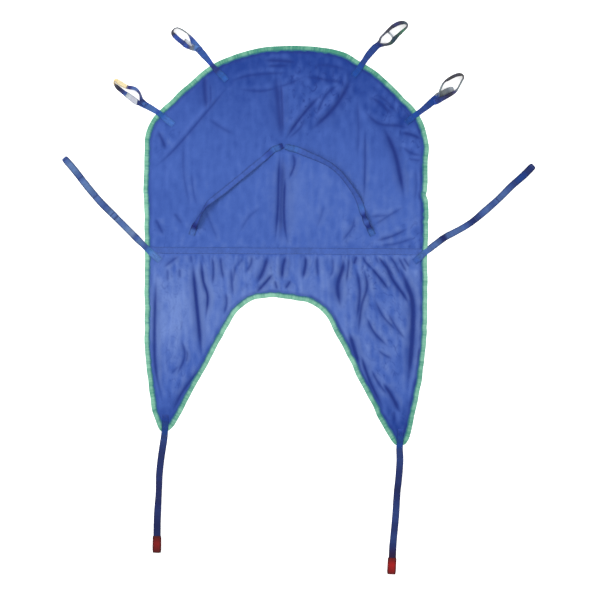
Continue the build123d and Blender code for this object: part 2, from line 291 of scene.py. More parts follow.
def buildPiece(name, points, faces, uv, material, values=None, dyes=None, solid=True, sharp=None):
    # a mesh from arrays, with its own UV map and attributes; a closed shell is turned to face outwards
    mesh = bpy.data.meshes.new(name)
    mesh.from_pydata(points.tolist(), [], [list(f) for f in faces])
    corner = np.zeros(len(mesh.loops), np.int32)
    mesh.loops.foreach_get("vertex_index", corner)
    mesh.uv_layers.new(name="flatUv").data.foreach_set("uv", uv[corner].astype(np.float32).ravel())
    for label, numbers in (values or {}).items():
        mesh.attributes.new(label, "FLOAT", "POINT").data.foreach_set("value", numbers.astype(np.float32))
    if dyes is not None:
        shades = np.hstack([dyes, np.ones((len(dyes), 1))]).astype(np.float32)
        mesh.attributes.new("dye", "FLOAT_COLOR", "POINT").data.foreach_set("color", shades.ravel())
    if solid:
        shell = bmesh.new()
        shell.from_mesh(mesh)
        if shell.calc_volume(signed=True) < 0:
            bmesh.ops.reverse_faces(shell, faces=shell.faces)
            shell.to_mesh(mesh)
        shell.free()
    mesh.shade_smooth()
    if sharp:
        mesh.set_sharp_from_angle(angle=math.radians(sharp))
    mesh.materials.append(material)
    piece = bpy.data.objects.new(name, mesh)
    scene.collection.objects.link(piece)
    return piece


def shaderOf(name):
    # a new material: what makes its nodes, sums and mixes, and what links them to its shader
    material = bpy.data.materials.new(name)
    material.use_nodes = True
    tree = material.node_tree

    def node(kind, **settings):
        # a node: a capital starts a socket's name, which is linked or set; any other name is the node's own
        made = tree.nodes.new(kind)
        for key, value in settings.items():
            if key[0].isupper():
                socket = made.inputs[key.replace("_", " ")]
                if isinstance(value, bpy.types.NodeSocket):
                    tree.links.new(value, socket)
                else:
                    socket.default_value = value
            else:
                setattr(made, key, value)
        return made

    def maths(operation, first, second=None, third=None):
        # a sum of up to three values or sockets
        made = node("ShaderNodeMath", operation=operation)
        for place, value in enumerate((first, second, third)):
            if isinstance(value, bpy.types.NodeSocket):
                tree.links.new(value, made.inputs[place])
            elif value is not None:
                made.inputs[place].default_value = value
        return made.outputs[0]

    def mix(share, first, second, how="MIX"):
        # two colours, blended by a share
        made = node("ShaderNodeMix", data_type="RGBA", blend_type=how)
        for place, value in ((0, share), (6, first), (7, second)):
            if isinstance(value, bpy.types.NodeSocket):
                tree.links.new(value, made.inputs[place])
            else:
                made.inputs[place].default_value = value
        return made.outputs[2]

    def shadeBy(colour, level):
        # the colour times a grey of this level
        grey = node("ShaderNodeCombineColor", Red=level, Green=level, Blue=level)
        return mix(1.0, colour, grey.outputs[0], "MULTIPLY")

    def finish(colour, bump, settings):
        # the shader's colour and bump by links, the rest set on its sockets
        shader = tree.nodes["Principled BSDF"]
        tree.links.new(colour, shader.inputs["Base Color"])
        tree.links.new(bump.outputs[0], shader.inputs["Normal"])
        for label, value in settings.items():
            shader.inputs[label].default_value = value
        return material

    return node, maths, mix, shadeBy, finish


def threadsOf(node, maths, place, acrossPitch, alongPitch):
    # plain weave: threads lie over and under by the product of two sine waves, one each way
    parts = node("ShaderNodeSeparateXYZ", Vector=place)
    first = maths("SINE", maths("MULTIPLY", parts.outputs[0], 2 * math.pi / acrossPitch))
    second = maths("SINE", maths("MULTIPLY", parts.outputs[1], 2 * math.pi / alongPitch))
    return maths("MULTIPLY", first, second), parts


def rgba(colour):
    # the colour with full cover
    return (*colour, 1.0)


dullGloss = 0.2

# Polyester cloth: a fine weave, a soft sheen, painted shade in its folds and creases, and a slow change of colour that
# is partly painted light and shade
clothFinish = dict(
    deep=dyeOf(30, 64, 146), middle=dyeOf(70, 101, 182), pale=dyeOf(110, 137, 204),
    fold=dyeOf(20, 54, 130), threadPitch=0.0011, roughness=0.58, sheen=0.10, sheenRoughness=0.45,
    mottleSize=38.0, crumpleSize=55.0,
)


def clothMaterial(name, look):
    node, maths, mix, shadeBy, finish = shaderOf(name)
    flat = node("ShaderNodeUVMap", uv_map="flatUv").outputs[0]
    weave = threadsOf(node, maths, flat, look["threadPitch"], look["threadPitch"])[0]
    tone = node("ShaderNodeAttribute", attribute_name="tone").outputs["Fac"]
    crease = node("ShaderNodeAttribute", attribute_name="crease").outputs["Fac"]
    mottle = node("ShaderNodeTexNoise", Vector=flat, Scale=look["mottleSize"], Detail=4.0, Roughness=0.6)
    streaks = node("ShaderNodeMapping", Vector=flat, Scale=(420.0, 26.0, 1.0))
    yarn = node("ShaderNodeTexNoise", Vector=streaks.outputs[0], Scale=1.0, Detail=2.0)
    # the tone attribute is partly painted light and shade; the mottle and the yarn add random tone
    level = maths("ADD", tone, maths("MULTIPLY", maths("SUBTRACT", mottle.outputs["Fac"], 0.5), 0.18))
    level = maths("ADD", level, maths("MULTIPLY", maths("SUBTRACT", yarn.outputs["Fac"], 0.5), 0.03))
    ramp = node("ShaderNodeValToRGB", Fac=level)
    ramp.color_ramp.elements[0].color = rgba(look["deep"])
    ramp.color_ramp.elements[1].color = rgba(look["pale"])
    ramp.color_ramp.elements.new(0.5).color = rgba(look["middle"])
    # painted shade: the fold colour mixed in by the crease attribute
    creased = mix(crease, ramp.outputs["Color"], rgba(look["fold"]))
    colour = shadeBy(creased, maths("MULTIPLY_ADD", weave, 0.05, 1.0))
    crumple = node("ShaderNodeTexNoise", Vector=flat, Scale=look["crumpleSize"], Detail=5.0, Roughness=0.62)
    small = node("ShaderNodeBump", Strength=0.55, Distance=0.0016, Height=crumple.outputs["Fac"])
    fine = node("ShaderNodeBump", Strength=0.35, Distance=0.00012, Height=weave, Normal=small.outputs[0])
    return finish(colour, fine, {
        "Roughness": look["roughness"], "Sheen Weight": look["sheen"],
        "Sheen Roughness": look["sheenRoughness"], "Specular IOR Level": dullGloss,
    })


# Webbing: thick ribs across the band, a strip of painted shadow along each edge, a dye that changes along it and in
# places paints light and shade
webbingFinish = dict(
    ribPitch=0.0026, yarnPitch=0.0021, roughness=0.66, sheen=0.06, half=0.0125, selvedge=0.0022,
)


def webbingMaterial(name, look):
    node, maths, mix, shadeBy, finish = shaderOf(name)
    flat = node("ShaderNodeUVMap", uv_map="flatUv").outputs[0]
    weave, parts = threadsOf(node, maths, flat, look["ribPitch"], look["yarnPitch"])
    rib = maths("SINE", maths("MULTIPLY", parts.outputs[0], 2 * math.pi / look["ribPitch"]))
    relief = maths("MULTIPLY_ADD", weave, 0.6, maths("MULTIPLY", rib, 0.4))
    dye = node("ShaderNodeAttribute", attribute_name="dye").outputs["Color"]
    mottle = node("ShaderNodeTexNoise", Vector=flat, Scale=90.0, Detail=4.0, Roughness=0.6)
    away = maths("ABSOLUTE", parts.outputs[1])
    # painted shadow: a dark strip along both edges of the tape
    rim = maths("GREATER_THAN", away, look["half"] - look["selvedge"])
    level = maths("MULTIPLY_ADD", relief, 0.09, maths("MULTIPLY_ADD", mottle.outputs["Fac"], 0.5, 0.75))
    level = maths("SUBTRACT", level, maths("MULTIPLY", rim, 0.26))
    bump = node("ShaderNodeBump", Strength=0.6, Distance=0.0004, Height=relief)
    return finish(shadeBy(dye, level), bump, {
        "Roughness": look["roughness"], "Sheen Weight": look["sheen"], "Specular IOR Level": dullGloss,
    })


# Edge binding: ribbed polyester tape that puckers, with painted light and shade on the puckers and painted shade where
# it dips and towards the cloth
bindingFinish = dict(
    light=dyeOf(146, 206, 178), shade=dyeOf(74, 150, 126), dip=dyeOf(40, 94, 134),
    ribPitch=0.0017, roughness=0.55, sheen=0.12,
)


def bindingMaterial(name, look):
    node, maths, mix, shadeBy, finish = shaderOf(name)
    flat = node("ShaderNodeUVMap", uv_map="flatUv").outputs[0]
    weave = threadsOf(node, maths, flat, look["ribPitch"], look["ribPitch"])[0]
    tone = node("ShaderNodeAttribute", attribute_name="tone").outputs["Fac"]
    crease = node("ShaderNodeAttribute", attribute_name="crease").outputs["Fac"]
    stretched = node("ShaderNodeMapping", Vector=flat, Scale=(160.0, 40.0, 1.0))
    puckers = node("ShaderNodeTexNoise", Vector=stretched.outputs[0], Scale=1.0, Detail=3.0)
    # painted light and shade: paler on the puckers' crests, darker in their dips
    level = maths("ADD", tone, maths("MULTIPLY", maths("SUBTRACT", puckers.outputs["Fac"], 0.5), 0.7))
    base = mix(level, rgba(look["shade"]), rgba(look["light"]))
    # painted shade towards the cloth and in the fine puckers
    base = mix(crease, base, rgba(look["dip"]))
    colour = shadeBy(base, maths("MULTIPLY_ADD", weave, 0.06, 1.0))
    wide = node("ShaderNodeBump", Strength=0.5, Distance=0.0012, Height=puckers.outputs["Fac"])
    fine = node("ShaderNodeBump", Strength=0.5, Distance=0.0002, Height=weave, Normal=wide.outputs[0])
    return finish(colour, fine, {
        "Roughness": look["roughness"], "Sheen Weight": look["sheen"], "Specular IOR Level": dullGloss,
    })


threadTwist = 0.0007


def threadMaterial(name, colour):
    # twisted sewing thread: fine diagonal bands along each stitch
    node, maths, mix, shadeBy, finish = shaderOf(name)
    flat = node("ShaderNodeUVMap", uv_map="flatUv").outputs[0]
    parts = node("ShaderNodeSeparateXYZ", Vector=flat)
    slant = maths("ADD", parts.outputs[0], parts.outputs[1])
    twist = maths("SINE", maths("MULTIPLY", slant, 2 * math.pi / threadTwist))
    bump = node("ShaderNodeBump", Strength=0.5, Distance=0.0001, Height=twist)
    return finish(shadeBy(rgba(colour), maths("MULTIPLY_ADD", twist, 0.2, 0.9)), bump, {"Roughness": 0.5})


clothPaint = clothMaterial("blueCloth", clothFinish)
webbingPaint = webbingMaterial("wovenWebbing", webbingFinish)
bindingPaint = bindingMaterial("greenBinding", bindingFinish)
greenThread = threadMaterial("greenThread", dyeOf(48, 118, 96))
blueThread = threadMaterial("blueThread", dyeOf(50, 72, 138))
paleThread = threadMaterial("paleThread", dyeOf(112, 138, 200))
redThread = threadMaterial("redThread", dyeOf(96, 20, 32))
floorPaint = bpy.data.materials.new("paleFloor")
floorPaint.use_nodes = True
floorShader = floorPaint.node_tree.nodes["Principled BSDF"]
floorShader.inputs["Base Color"].default_value = rgba(studio["floorColour"])
floorShader.inputs["Roughness"].default_value = 0.9
floorShader.inputs["Specular IOR Level"].default_value = 0.0
floorShader.inputs["Emission Color"].default_value = (1, 1, 1, 1)
floorShader.inputs["Emission Strength"].default_value = studio["floorGlow"]
reach = studio["floorReach"]
floorCorners = np.array([[-reach, -reach, 0], [reach, -reach, 0], [reach, reach, 0], [-reach, reach, 0]])
floor = buildPiece("floor", floorCorners, [[0, 1, 2, 3]], floorCorners[:, :2], floorPaint, solid=False)
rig.stage(floor)
print("light, floor and finishes ready")

# Dyes of the webbing; some of them are painted light and shade along the straps, loops and handles
dyes = {}


def addDyes(**colours):
    # named dyes and painted shades from display values
    dyes.update({name: dyeOf(*colour) for name, colour in colours.items()})


addDyes(
    blue=(72, 106, 172), navy=(42, 58, 122), deep=(28, 40, 98), royal=(48, 76, 160),
    cyan=(70, 122, 190), sky=(92, 132, 196), ink=(24, 34, 58), coal=(26, 32, 38), moss=(32, 72, 62),
    green=(40, 116, 84), teal=(26, 62, 78), smoke=(118, 126, 136), ash=(168, 176, 184),
    pearl=(196, 204, 214), slate=(98, 112, 118), yellow=(238, 206, 132), cream=(240, 222, 176),
)

# The cut edge seen from above, clockwise from the foot of the left side
edgeShape = dict(
    leftFoot=(-0.536, -0.250), leftTop=(-0.536, 0.400), leftShoulder=(-0.5121, 0.5016),
    leftCrown=(-0.440, 0.577), crown=(0.005, 0.783), rightCrown=(0.450, 0.577),
    rightShoulder=(0.5141, 0.4988), rightTop=(0.536, 0.400), rightFoot=(0.536, -0.250),
    rightLeg=(0.5123, -0.4990), rightTipOuter=(0.453, -0.742), rightTipInner=(0.415, -0.742),
    rightCorner=(0.171, -0.277), rightArch=(0.1235, -0.2078), archRight=(0.045, -0.178),
    archTop=(-0.037, -0.169), archLeft=(-0.119, -0.178), leftArch=(-0.180, -0.2168),
    leftCorner=(-0.220, -0.277), leftTipInner=(-0.442, -0.688), leftTipOuter=(-0.480, -0.688),
    leftLeg=(-0.5259, -0.4713), spacing=0.0038, softening=3, wave=0.0006, waves=14, outward=0.0014,
    # bumps outwards below nought and dips inwards above it: x, y in metres, depth and reach in millimetres
    dents=[
        (-0.443, -0.686, 5.0, 18), (-0.479, -0.686, 5.0, 18), (0.416, -0.740, 5.0, 18),
        (0.452, -0.740, 5.0, 18), (0.536, 0.213, 5.5, 11), (0.536, 0.110, 2.5, 8), (0.536, 0.160, -3.5, 26),
        (0.536, 0.060, -3.0, 30), (0.533, -0.290, 2.0, 12), (-0.536, 0.300, 1.5, 25),
        (-0.230, -0.330, -2.0, 20), (-0.330, -0.500, 1.6, 18), (-0.470, 0.550, 8.5, 75),
        (-0.370, 0.645, 8.5, 70), (-0.150, 0.765, 3.0, 110), (0.000, 0.782, 3.5, 80),
        (0.180, 0.755, -8.0, 60), (0.235, 0.738, -7.0, 45), (0.330, 0.685, -5.0, 60),
        (0.536, 0.387, -6.0, 40), (0.536, 0.137, -4.0, 40), (-0.536, 0.250, -5.0, 90),
        (0.015, -0.175, -9.0, 85), (0.120, -0.210, -6.0, 60), (-0.120, -0.190, -4.0, 60),
        (-0.200, -0.250, -4.0, 60), (0.360, -0.640, -6.0, 80), (0.280, -0.490, -4.0, 70),
        (-0.300, -0.430, -3.5, 100), (-0.400, -0.610, -3.0, 60), (-0.505, -0.600, -5.0, 60),
        (0.469, -0.693, -3.0, 50),
    ],
)


def cutEdge(shape):
    # lines and arcs joined, set out evenly, corners softened by a moving mean, then moved in or out by
    # waves and by dents, each its depth times exp of minus (distance / reach) squared
    p = {key: np.array(value) for key, value in shape.items() if isinstance(value, tuple)}
    arcs = [
        ("leftFoot", None, "leftTop"), ("leftTop", "leftShoulder", "leftCrown"),
        ("leftCrown", "crown", "rightCrown"), ("rightCrown", "rightShoulder", "rightTop"),
        ("rightTop", None, "rightFoot"), ("rightFoot", "rightLeg", "rightTipOuter"),
        ("rightTipOuter", None, "rightTipInner"), ("rightTipInner", None, "rightCorner"),
        ("rightCorner", "rightArch", "archRight"), ("archRight", "archTop", "archLeft"),
        ("archLeft", "leftArch", "leftCorner"), ("leftCorner", None, "leftTipInner"),
        ("leftTipInner", None, "leftTipOuter"), ("leftTipOuter", "leftLeg", "leftFoot"),
    ]
    runs = [arcThrough(p[a], p[b], p[c]) if b else np.stack([p[a], p[c]]) for a, b, c in arcs]
    track = evenSteps(np.vstack(runs), shape["spacing"])[:-1]
    reach = shape["softening"]
    track = sum(np.roll(track, k, axis=0) for k in range(-reach, reach + 1)) / (2 * reach + 1)
    run = np.arange(len(track)) * shape["spacing"]
    around = run[-1] + shape["spacing"]
    dice = np.random.default_rng(11)
    turns = dice.integers(18, 90, shape["waves"])
    phases = dice.uniform(0, 6.3, shape["waves"])
    wave = np.cos(2 * math.pi * turns * run[:, None] / around + phases).sum(1) * shape["wave"] / 2.6
    wave = wave * (1 - 0.6 * easeBetween(0.25, 0.42, track[:, 1]))
    for x, y, depth, width in shape["dents"]:
        wave = wave + depth * mm * np.exp(-(((track - (x, y)) ** 2).sum(1)) / (width * mm) ** 2)
    return track + inwardOf(track) * (wave - shape["outward"])[:, None]


def inwardOf(track):
    # a quarter turn right of the way along a closed clockwise track
    ahead = np.roll(track, -1, axis=0) - np.roll(track, 1, axis=0)
    ahead = ahead / np.linalg.norm(ahead, axis=1, keepdims=True)
    return np.stack([ahead[:, 1], -ahead[:, 0]], 1)


edge = cutEdge(edgeShape)
inward = inwardOf(edge)
edgeRun = np.arange(len(edge)) * edgeShape["spacing"]
clothInset = 0.0025
clothEdge = edge + inward * clothInset


def stationNear(x, y):
    # the station of the cut edge with the least squared distance to a place
    return int(((edge - (x, y)) ** 2).sum(1).argmin())


def stationsBetween(first, last):
    # station numbers clockwise from one to the other
    return np.arange(first, last + 1 + (len(edge) if last < first else 0)) % len(edge)


# Heights up the cloth where its pieces meet, and the spans over which it turns from one body to the next. A
# span starts only just before its joint's axis, because what turns before the axis dips through the floor
joins = dict(neck=0.575, seat=-0.050, leg=-0.150)
bends = dict(neck=(0.598, 0.646), seat=(-0.060, -0.108), leg=(-0.195, -0.243))
station = dict(
    seatLeftLow=stationNear(-0.536, joins["leg"]), seatLeftTop=stationNear(-0.536, joins["seat"]),
    neckLeft=stationNear(-0.4416, joins["neck"]), neckRight=stationNear(0.4516, joins["neck"]),
    seatRightTop=stationNear(0.536, joins["seat"]), seatRightLow=stationNear(0.536, joins["leg"]),
    tipRight=stationNear(0.434, -0.742), archRight=stationNear(*edgeShape["archRight"]),
    archLeft=stationNear(*edgeShape["archLeft"]), tipLeft=stationNear(-0.461, -0.688),
)

# A map over the whole sling holds the cloth's height, creases and tone, so that neighbouring pieces agree
mapShape = dict(left=-0.560, right=0.560, low=-0.770, high=0.805, cell=0.0025)
mapXs = np.arange(mapShape["left"], mapShape["right"], mapShape["cell"])
mapYs = np.arange(mapShape["low"], mapShape["high"], mapShape["cell"])
mapX, mapY = np.meshgrid(mapXs, mapYs)


def cloud(seed, acrossLength, alongLength, count=26):
    # slow noise: a sum of plane waves with random directions and phases, about one high
    dice = np.random.default_rng(seed)
    kx = dice.normal(0, 1, count) * 2 * math.pi / acrossLength
    ky = dice.normal(0, 1, count) * 2 * math.pi / alongLength
    total = np.zeros_like(mapX)
    for a, b, phase in zip(kx, ky, dice.uniform(0, 2 * math.pi, count)):
        total += np.cos(a * mapX + b * mapY + phase)
    return total / math.sqrt(count / 2)


def near(path, reach):
    # the map's cells near a path: their window, signed distance to it and share of the way along it
    low, high = path.min(0) - reach, path.max(0) + reach
    rows = slice(*np.searchsorted(mapYs, (low[1], high[1])))
    columns = slice(*np.searchsorted(mapXs, (low[0], high[0])))
    cells = np.stack([mapX[rows, columns], mapY[rows, columns]], -1)[..., None, :]
    start, way = path[:-1], np.diff(path, axis=0)
    t = np.clip(((cells - start) * way).sum(-1) / (way**2).sum(-1), 0, 1)
    off = cells - start - t[..., None] * way
    gap = np.sqrt((off**2).sum(-1))
    best = gap.argmin(-1)[..., None]
    side = np.sign(way[:, 0] * off[..., 1] - way[:, 1] * off[..., 0])
    share = (np.take_along_axis(t, best, -1)[..., 0] + best[..., 0]) / len(way)
    return (rows, columns), np.take_along_axis(gap * side, best, -1)[..., 0], share


def sampleMap(field, x, y):
    # the four cells round each point, weighted by nearness
    u = np.clip((x - mapXs[0]) / mapShape["cell"], 0, len(mapXs) - 1.001)
    v = np.clip((y - mapYs[0]) / mapShape["cell"], 0, len(mapYs) - 1.001)
    i, j = v.astype(int), u.astype(int)
    a, b = v - i, u - j
    top = field[i + 1, j] * (1 - b) + field[i + 1, j + 1] * b
    return (field[i, j] * (1 - b) + field[i, j + 1] * b) * (1 - a) + top * a


# Folds of the cloth in millimetres: width, darkness of its painted shadow, then the points that each one runs through
backFolds = [
    # the long crease across the left shoulder, the upright ones below the head, and those that fan out from
    # the handles' knot
    (12, 0.65, -515, 305, -430, 380, -300, 530, -200, 650), (24, 0.8, -312, 690, -308, 600, -300, 520),
    (11, 0.6, -290, 650, -286, 590, -290, 530), (30, 0.8, -42, 680, -30, 560, -15, 405),
    (14, 0.8, -22, 670, -16, 560, -12, 410), (16, 0.95, -10, 410, 35, 480, 100, 560, 150, 605),
    (12, 0.6, 0, 420, 55, 470, 75, 525), (22, 0.95, 85, 450, 170, 530, 220, 600, 258, 680),
    (12, 0.7, 110, 500, 150, 590, 210, 640), (12, 0.45, -300, 505, -240, 465, -190, 440),
    (12, 0.4, 270, 600, 275, 450, 270, 330), (10, 0.7, 300, 490, 300, 330, 295, 165),
    (22, 1.1, 360, 490, 410, 380, 430, 300, 452, 180),
    # the crumple at the right shoulder
    (13, 0.7, 290, 540, 350, 485, 430, 475, 490, 460), (12, 0.65, 310, 590, 360, 560, 410, 510),
    (12, 0.9, 430, 450, 475, 442, 525, 420), (11, 0.6, 435, 400, 480, 370, 525, 362),
    (10, 0.5, 460, 350, 520, 342), (11, 0.6, 340, 600, 390, 560, 430, 515),
    (11, 0.55, 450, 540, 470, 510, 500, 480),
    # arcs under the crown
    (13, 0.85, -90, 724, -20, 722, 50, 716), (11, 0.7, -80, 702, 20, 705),
    (11, 0.6, -225, 640, -130, 668, 25, 678), (11, 0.55, -200, 617, -80, 609, 45, 650, 95, 683),
    (12, 0.6, 60, 665, 150, 650, 245, 636), (11, 0.5, 95, 703, 160, 705, 245, 685),
    # down the middle to the waist band, and the slacker ones either side
    (34, 0.75, -12, 395, -16, 280, -20, 150, -20, 5), (14, 1, -2, 320, -8, 150, 0, 60, 16, 4),
    (14, 1, -22, 400, -28, 280, -32, 150, -45, 5), (13, 0.85, 20, 385, 32, 330, 5, 260),
    (12, 0.4, -390, 440, -388, 290, -360, 145), (11, 0.4, -362, 310, -350, 215, -332, 160),
    (13, 0.8, -490, 462, -470, 420, -452, 378), (12, 0.7, -500, 130, -480, 90, -462, 55),
    (11, 0.5, -430, 150, -390, 98), (12, 0.4, -312, 165, -280, 90, -255, 30),
    (12, 0.55, 262, 140, 252, 90, 205, 28), (11, 0.5, 325, 92, 400, 140, 455, 172),
    (12, 0.7, 332, 38, 400, 55, 472, 90), (11, 0.55, 345, 20, 420, 28, 500, 55),
    (11, 0.5, 315, 130, 400, 136), (13, 0.4, 490, 330, 495, 250, 486, 175),
    (12, 0.35, -180, 65, -140, 130, -85, 172), (12, 0.3, 150, 185, 115, 80),
]
seatFolds = [
    # left side and leg
    (18, 0.9, -492, -60, -500, -300, -495, -450, -462, -600),
    (20, 1.1, -358, -12, -345, -150, -330, -300, -318, -430),
    (15, 1, -325, -12, -315, -110, -298, -175, -308, -280), (12, 0.65, -400, -15, -430, -35, -470, -66),
    (11, 0.55, -450, -62, -450, -122), (11, 0.55, -405, -62, -403, -108),
    (20, 0.9, -305, -425, -390, -530, -440, -630), (12, 0.6, -382, -368, -375, -395, -382, -432),
    (12, 0.45, -405, -435, -440, -470), (12, 0.5, -362, -10, -358, -52),
    # above the arch
    (13, 0.65, -208, -55, -206, -120, -200, -180), (12, 0.6, -188, -40, -198, -90, -206, -140),
    (20, 1, -66, -8, -88, -78, -118, -135), (15, 1, -42, -78, -80, -122, -122, -168),
    (17, 1, 4, -8, -12, -60, -16, -120), (11, 0.75, -44, -108, -32, -152),
    (12, 0.9, 20, -108, 6, -130, -6, -148), (15, 1, 72, -8, 74, -50, 62, -115),
    (12, 0.55, 175, -15, 178, -70, 160, -112), (12, 0.5, -160, -22, -192, -66),
    # right side and leg
    (22, 1.1, 214, -8, 216, -60, 196, -135, 210, -230), (13, 0.95, 270, -16, 255, -56),
    (15, 0.9, 262, -50, 280, -150, 266, -290), (15, 0.9, 286, -40, 308, -130, 286, -212, 272, -340),
    (15, 0.95, 312, -50, 358, -105, 400, -160), (18, 1, 366, -10, 400, -100, 450, -172, 484, -230),
    (26, 1.15, 408, -14, 460, -130, 481, -205, 478, -350, 458, -560), (11, 0.7, 442, -20, 472, -66),
    (12, 0.75, 424, -18, 462, -88), (22, 1.1, 238, -300, 260, -378, 285, -450),
    (18, 0.95, 276, -370, 318, -495, 380, -620), (18, 1, 360, -490, 402, -552, 438, -625),
    (12, 0.6, 345, -372, 372, -394, 408, -412), (11, 0.45, 302, -270, 350, -340),
    (13, 0.65, 380, -225, 425, -300, 465, -348), (11, 0.55, 338, -18, 352, -50),
    (11, 0.5, 410, -600, 412, -655), (13, 0.9, 342, -12, 380, -60, 420, -110),
    (12, 0.8, 290, -10, 300, -40, 335, -75), (12, 0.8, 385, -10, 415, -50, 440, -105),
    (13, 0.8, 240, -12, 236, -60, 228, -130), (12, 0.7, 120, -10, 118, -50, 122, -110),
    (14, 0.8, 300, -240, 335, -310, 395, -370), (13, 0.7, 330, -170, 370, -250, 440, -320),
    (13, 0.7, 318, -440, 350, -500, 395, -560),
    # short gathers left of the arch
    (12, 0.8, -250, -10, -246, -60, -236, -120), (12, 0.8, -285, -12, -276, -60, -280, -140),
    (12, 0.7, -130, -10, -134, -50, -160, -90), (12, 0.7, -230, -150, -226, -200, -240, -250),
    (13, 0.7, -400, -330, -385, -400, -420, -480),
]

# How the cloth lies: slow waves, faint creases, and gathers below the waist band; its darkness settings paint shade
# into creases, crumples, gathers and a band inside the binding, and others paint highlights beside folds, on small
# relief and in streaks of sheen
lie = dict(
    wave=1.0, longWave=0.9, lineWidth=0.14, lineDepth=0.4, lineDark=0.15, pleatPitch=0.0235, pleatHeight=1.9,
    pleatLength=0.062, pleatDark=0.50, edgeClear=(0.017, 0.036), waistClear=(0.012, 0.022), rimDark=0.80,
    shine=0.09, detail=0.12, detailReach=0.010, calm=0.35, foldHeight=0.20,
    crumpleWidth=0.12, crumpleDepth=1.2, crumpleDark=0.95, crumpleTone=0.07, silk=0.05,
    baseHeight=0.0016, rimPlace=0.0235, rimWidth=0.0072,
)
# Brightness of the cloth from 0, deep, to 1, pale, partly the paler seat cloth and partly painted light and shade:
# first by height in millimetres, darker towards the head and the leg tips, then broad areas of painted light and shade
# that add to it, each with x, y, reach and how much
toneByHeight = [
    (-740, 0), (-640, 0.15), (-540, 0.5), (-300, 0.7), (-80, 0.68), (20, 0.5), (300, 0.46), (560, 0.26),
    (720, 0.02),
]
toneAreas = [
    (-420, -230, 120, 0.3), (380, -180, 130, -0.15), (430, 520, 120, -0.16), (90, 240, 170, 0.1),
    (360, 120, 130, 0.1), (-500, 180, 90, -0.12), (-400, 520, 120, 0.06), (0, 620, 90, 0.08),
    (-320, -380, 80, -0.2),
]
# Where the cloth is crumpled all over: x, y and reach in millimetres, then how strongly
crumpled = [
    (110, 640, 110, 1), (200, 590, 60, 0.8), (390, 540, 90, 1), (480, 400, 60, 0.9), (80, 500, 60, 1),
    (-60, 400, 40, 0.6), (-60, 700, 80, 0.4), (480, 60, 60, 0.7), (-480, 60, 50, 0.5), (-450, 430, 60, 0.5),
    (0, 40, 60, 0.3), (-100, -90, 110, 0.6), (330, -110, 140, 0.7), (-420, -110, 120, 0.4),
    (430, -320, 110, 0.5), (350, -480, 90, 0.5), (-440, -330, 110, 0.3), (-380, -520, 90, 0.5),
    (430, -640, 70, 0.5), (-330, 90, 50, 0.4), (250, 90, 60, 0.5),
]
# Stretches that stitching presses flat: x and y of both ends and half the width, in millimetres
pressed = [
    (-330, 770, -233, 666, 13), (350, 765, 254, 660, 13), (-560, 575, -442, 495, 13),
    (560, 585, 451, 486, 13), (-570, 40, -496, -41, 14), (570, 18, 489, -49, 14),
    (-463, -720, -458, -616, 14), (431, -770, 438, -670, 14), (-68, 390, -12, 398, 12),
    (0, 395, 62, 380, 12), (-330, 112, -362, 66, 12), (300, 118, 334, 56, 12), (-233, 656, -218, 640, 12),
    (-440, 490, -420, 474, 12), (-492, -26, -472, -42, 12),
]


def roundSpot(x, y, reach):
    # one at a place in millimetres, fading as exp of minus (distance / reach) squared
    return np.exp(-((mapX - x * mm) ** 2 + (mapY - y * mm) ** 2) / (reach * mm) ** 2)


heights = lie["wave"] * mm * cloud(3, 0.07, 0.30) + lie["longWave"] * mm * cloud(4, 0.20, 0.20)
calm = 1 - (1 - lie["calm"]) * easeBetween(-0.06, 0.02, mapY)
heights = heights * easeBetween(-0.75, -0.20, mapY) * (0.4 + 0.6 * calm) + lie["baseHeight"]
shadeMap, shine = np.zeros_like(mapX), np.zeros_like(mapX)
patchy = easeBetween(-0.3, 1.3, cloud(5, 0.17, 0.20))
for seed, across, along in ((6, 0.050, 0.17), (7, 0.12, 0.05), (8, 0.035, 0.045)):
    line = np.exp(-((cloud(seed, across, along) / lie["lineWidth"]) ** 2)) * patchy
    heights -= calm * line * lie["lineDepth"] * mm
    # painted shade along the faint creases
    shadeMap = np.maximum(shadeMap, (0.3 + 0.7 * calm) * line * lie["lineDark"])
    patchy = easeBetween(-0.3, 1.3, cloud(seed + 40, 0.15, 0.15))
zone = np.clip(sum(strength * roundSpot(x, y, reach) for x, y, reach, strength in crumpled), 0, 1)
for seed, size in ((9, 0.075), (10, 0.050)):
    # broken lines where slow noise crosses zero, only in the crumpled places: shallow dents with painted shade along
    # them
    line = np.exp(-((cloud(seed, size, size * 1.4) / lie["crumpleWidth"]) ** 2)) * zone
    line = line * easeBetween(-0.6, 0.8, cloud(seed + 50, 0.05, 0.05))
    heights -= line * lie["crumpleDepth"] * mm
    shadeMap = np.maximum(shadeMap, line * lie["crumpleDark"])
drop = np.maximum(-mapY - 0.010, 0)
slant = mapX + 0.22 * drop * cloud(21, 0.20, 0.4) + 0.006 * cloud(22, 0.09, 0.5)
pleat = np.cos(2 * math.pi * slant / lie["pleatPitch"])
gather = (mapY < -0.010) * easeBetween(0, 0.008, drop) * np.exp(-drop / lie["pleatLength"])
gather = gather * (0.35 + 0.65 * easeBetween(-1.0, 1.2, cloud(23, 0.11, 0.5)))
heights += gather * (0.5 + 0.5 * pleat) ** 1.4 * lie["pleatHeight"] * mm
# painted shade between the gathers
shadeMap = np.maximum(shadeMap, gather * np.maximum(-pleat, 0) ** 2 * lie["pleatDark"])
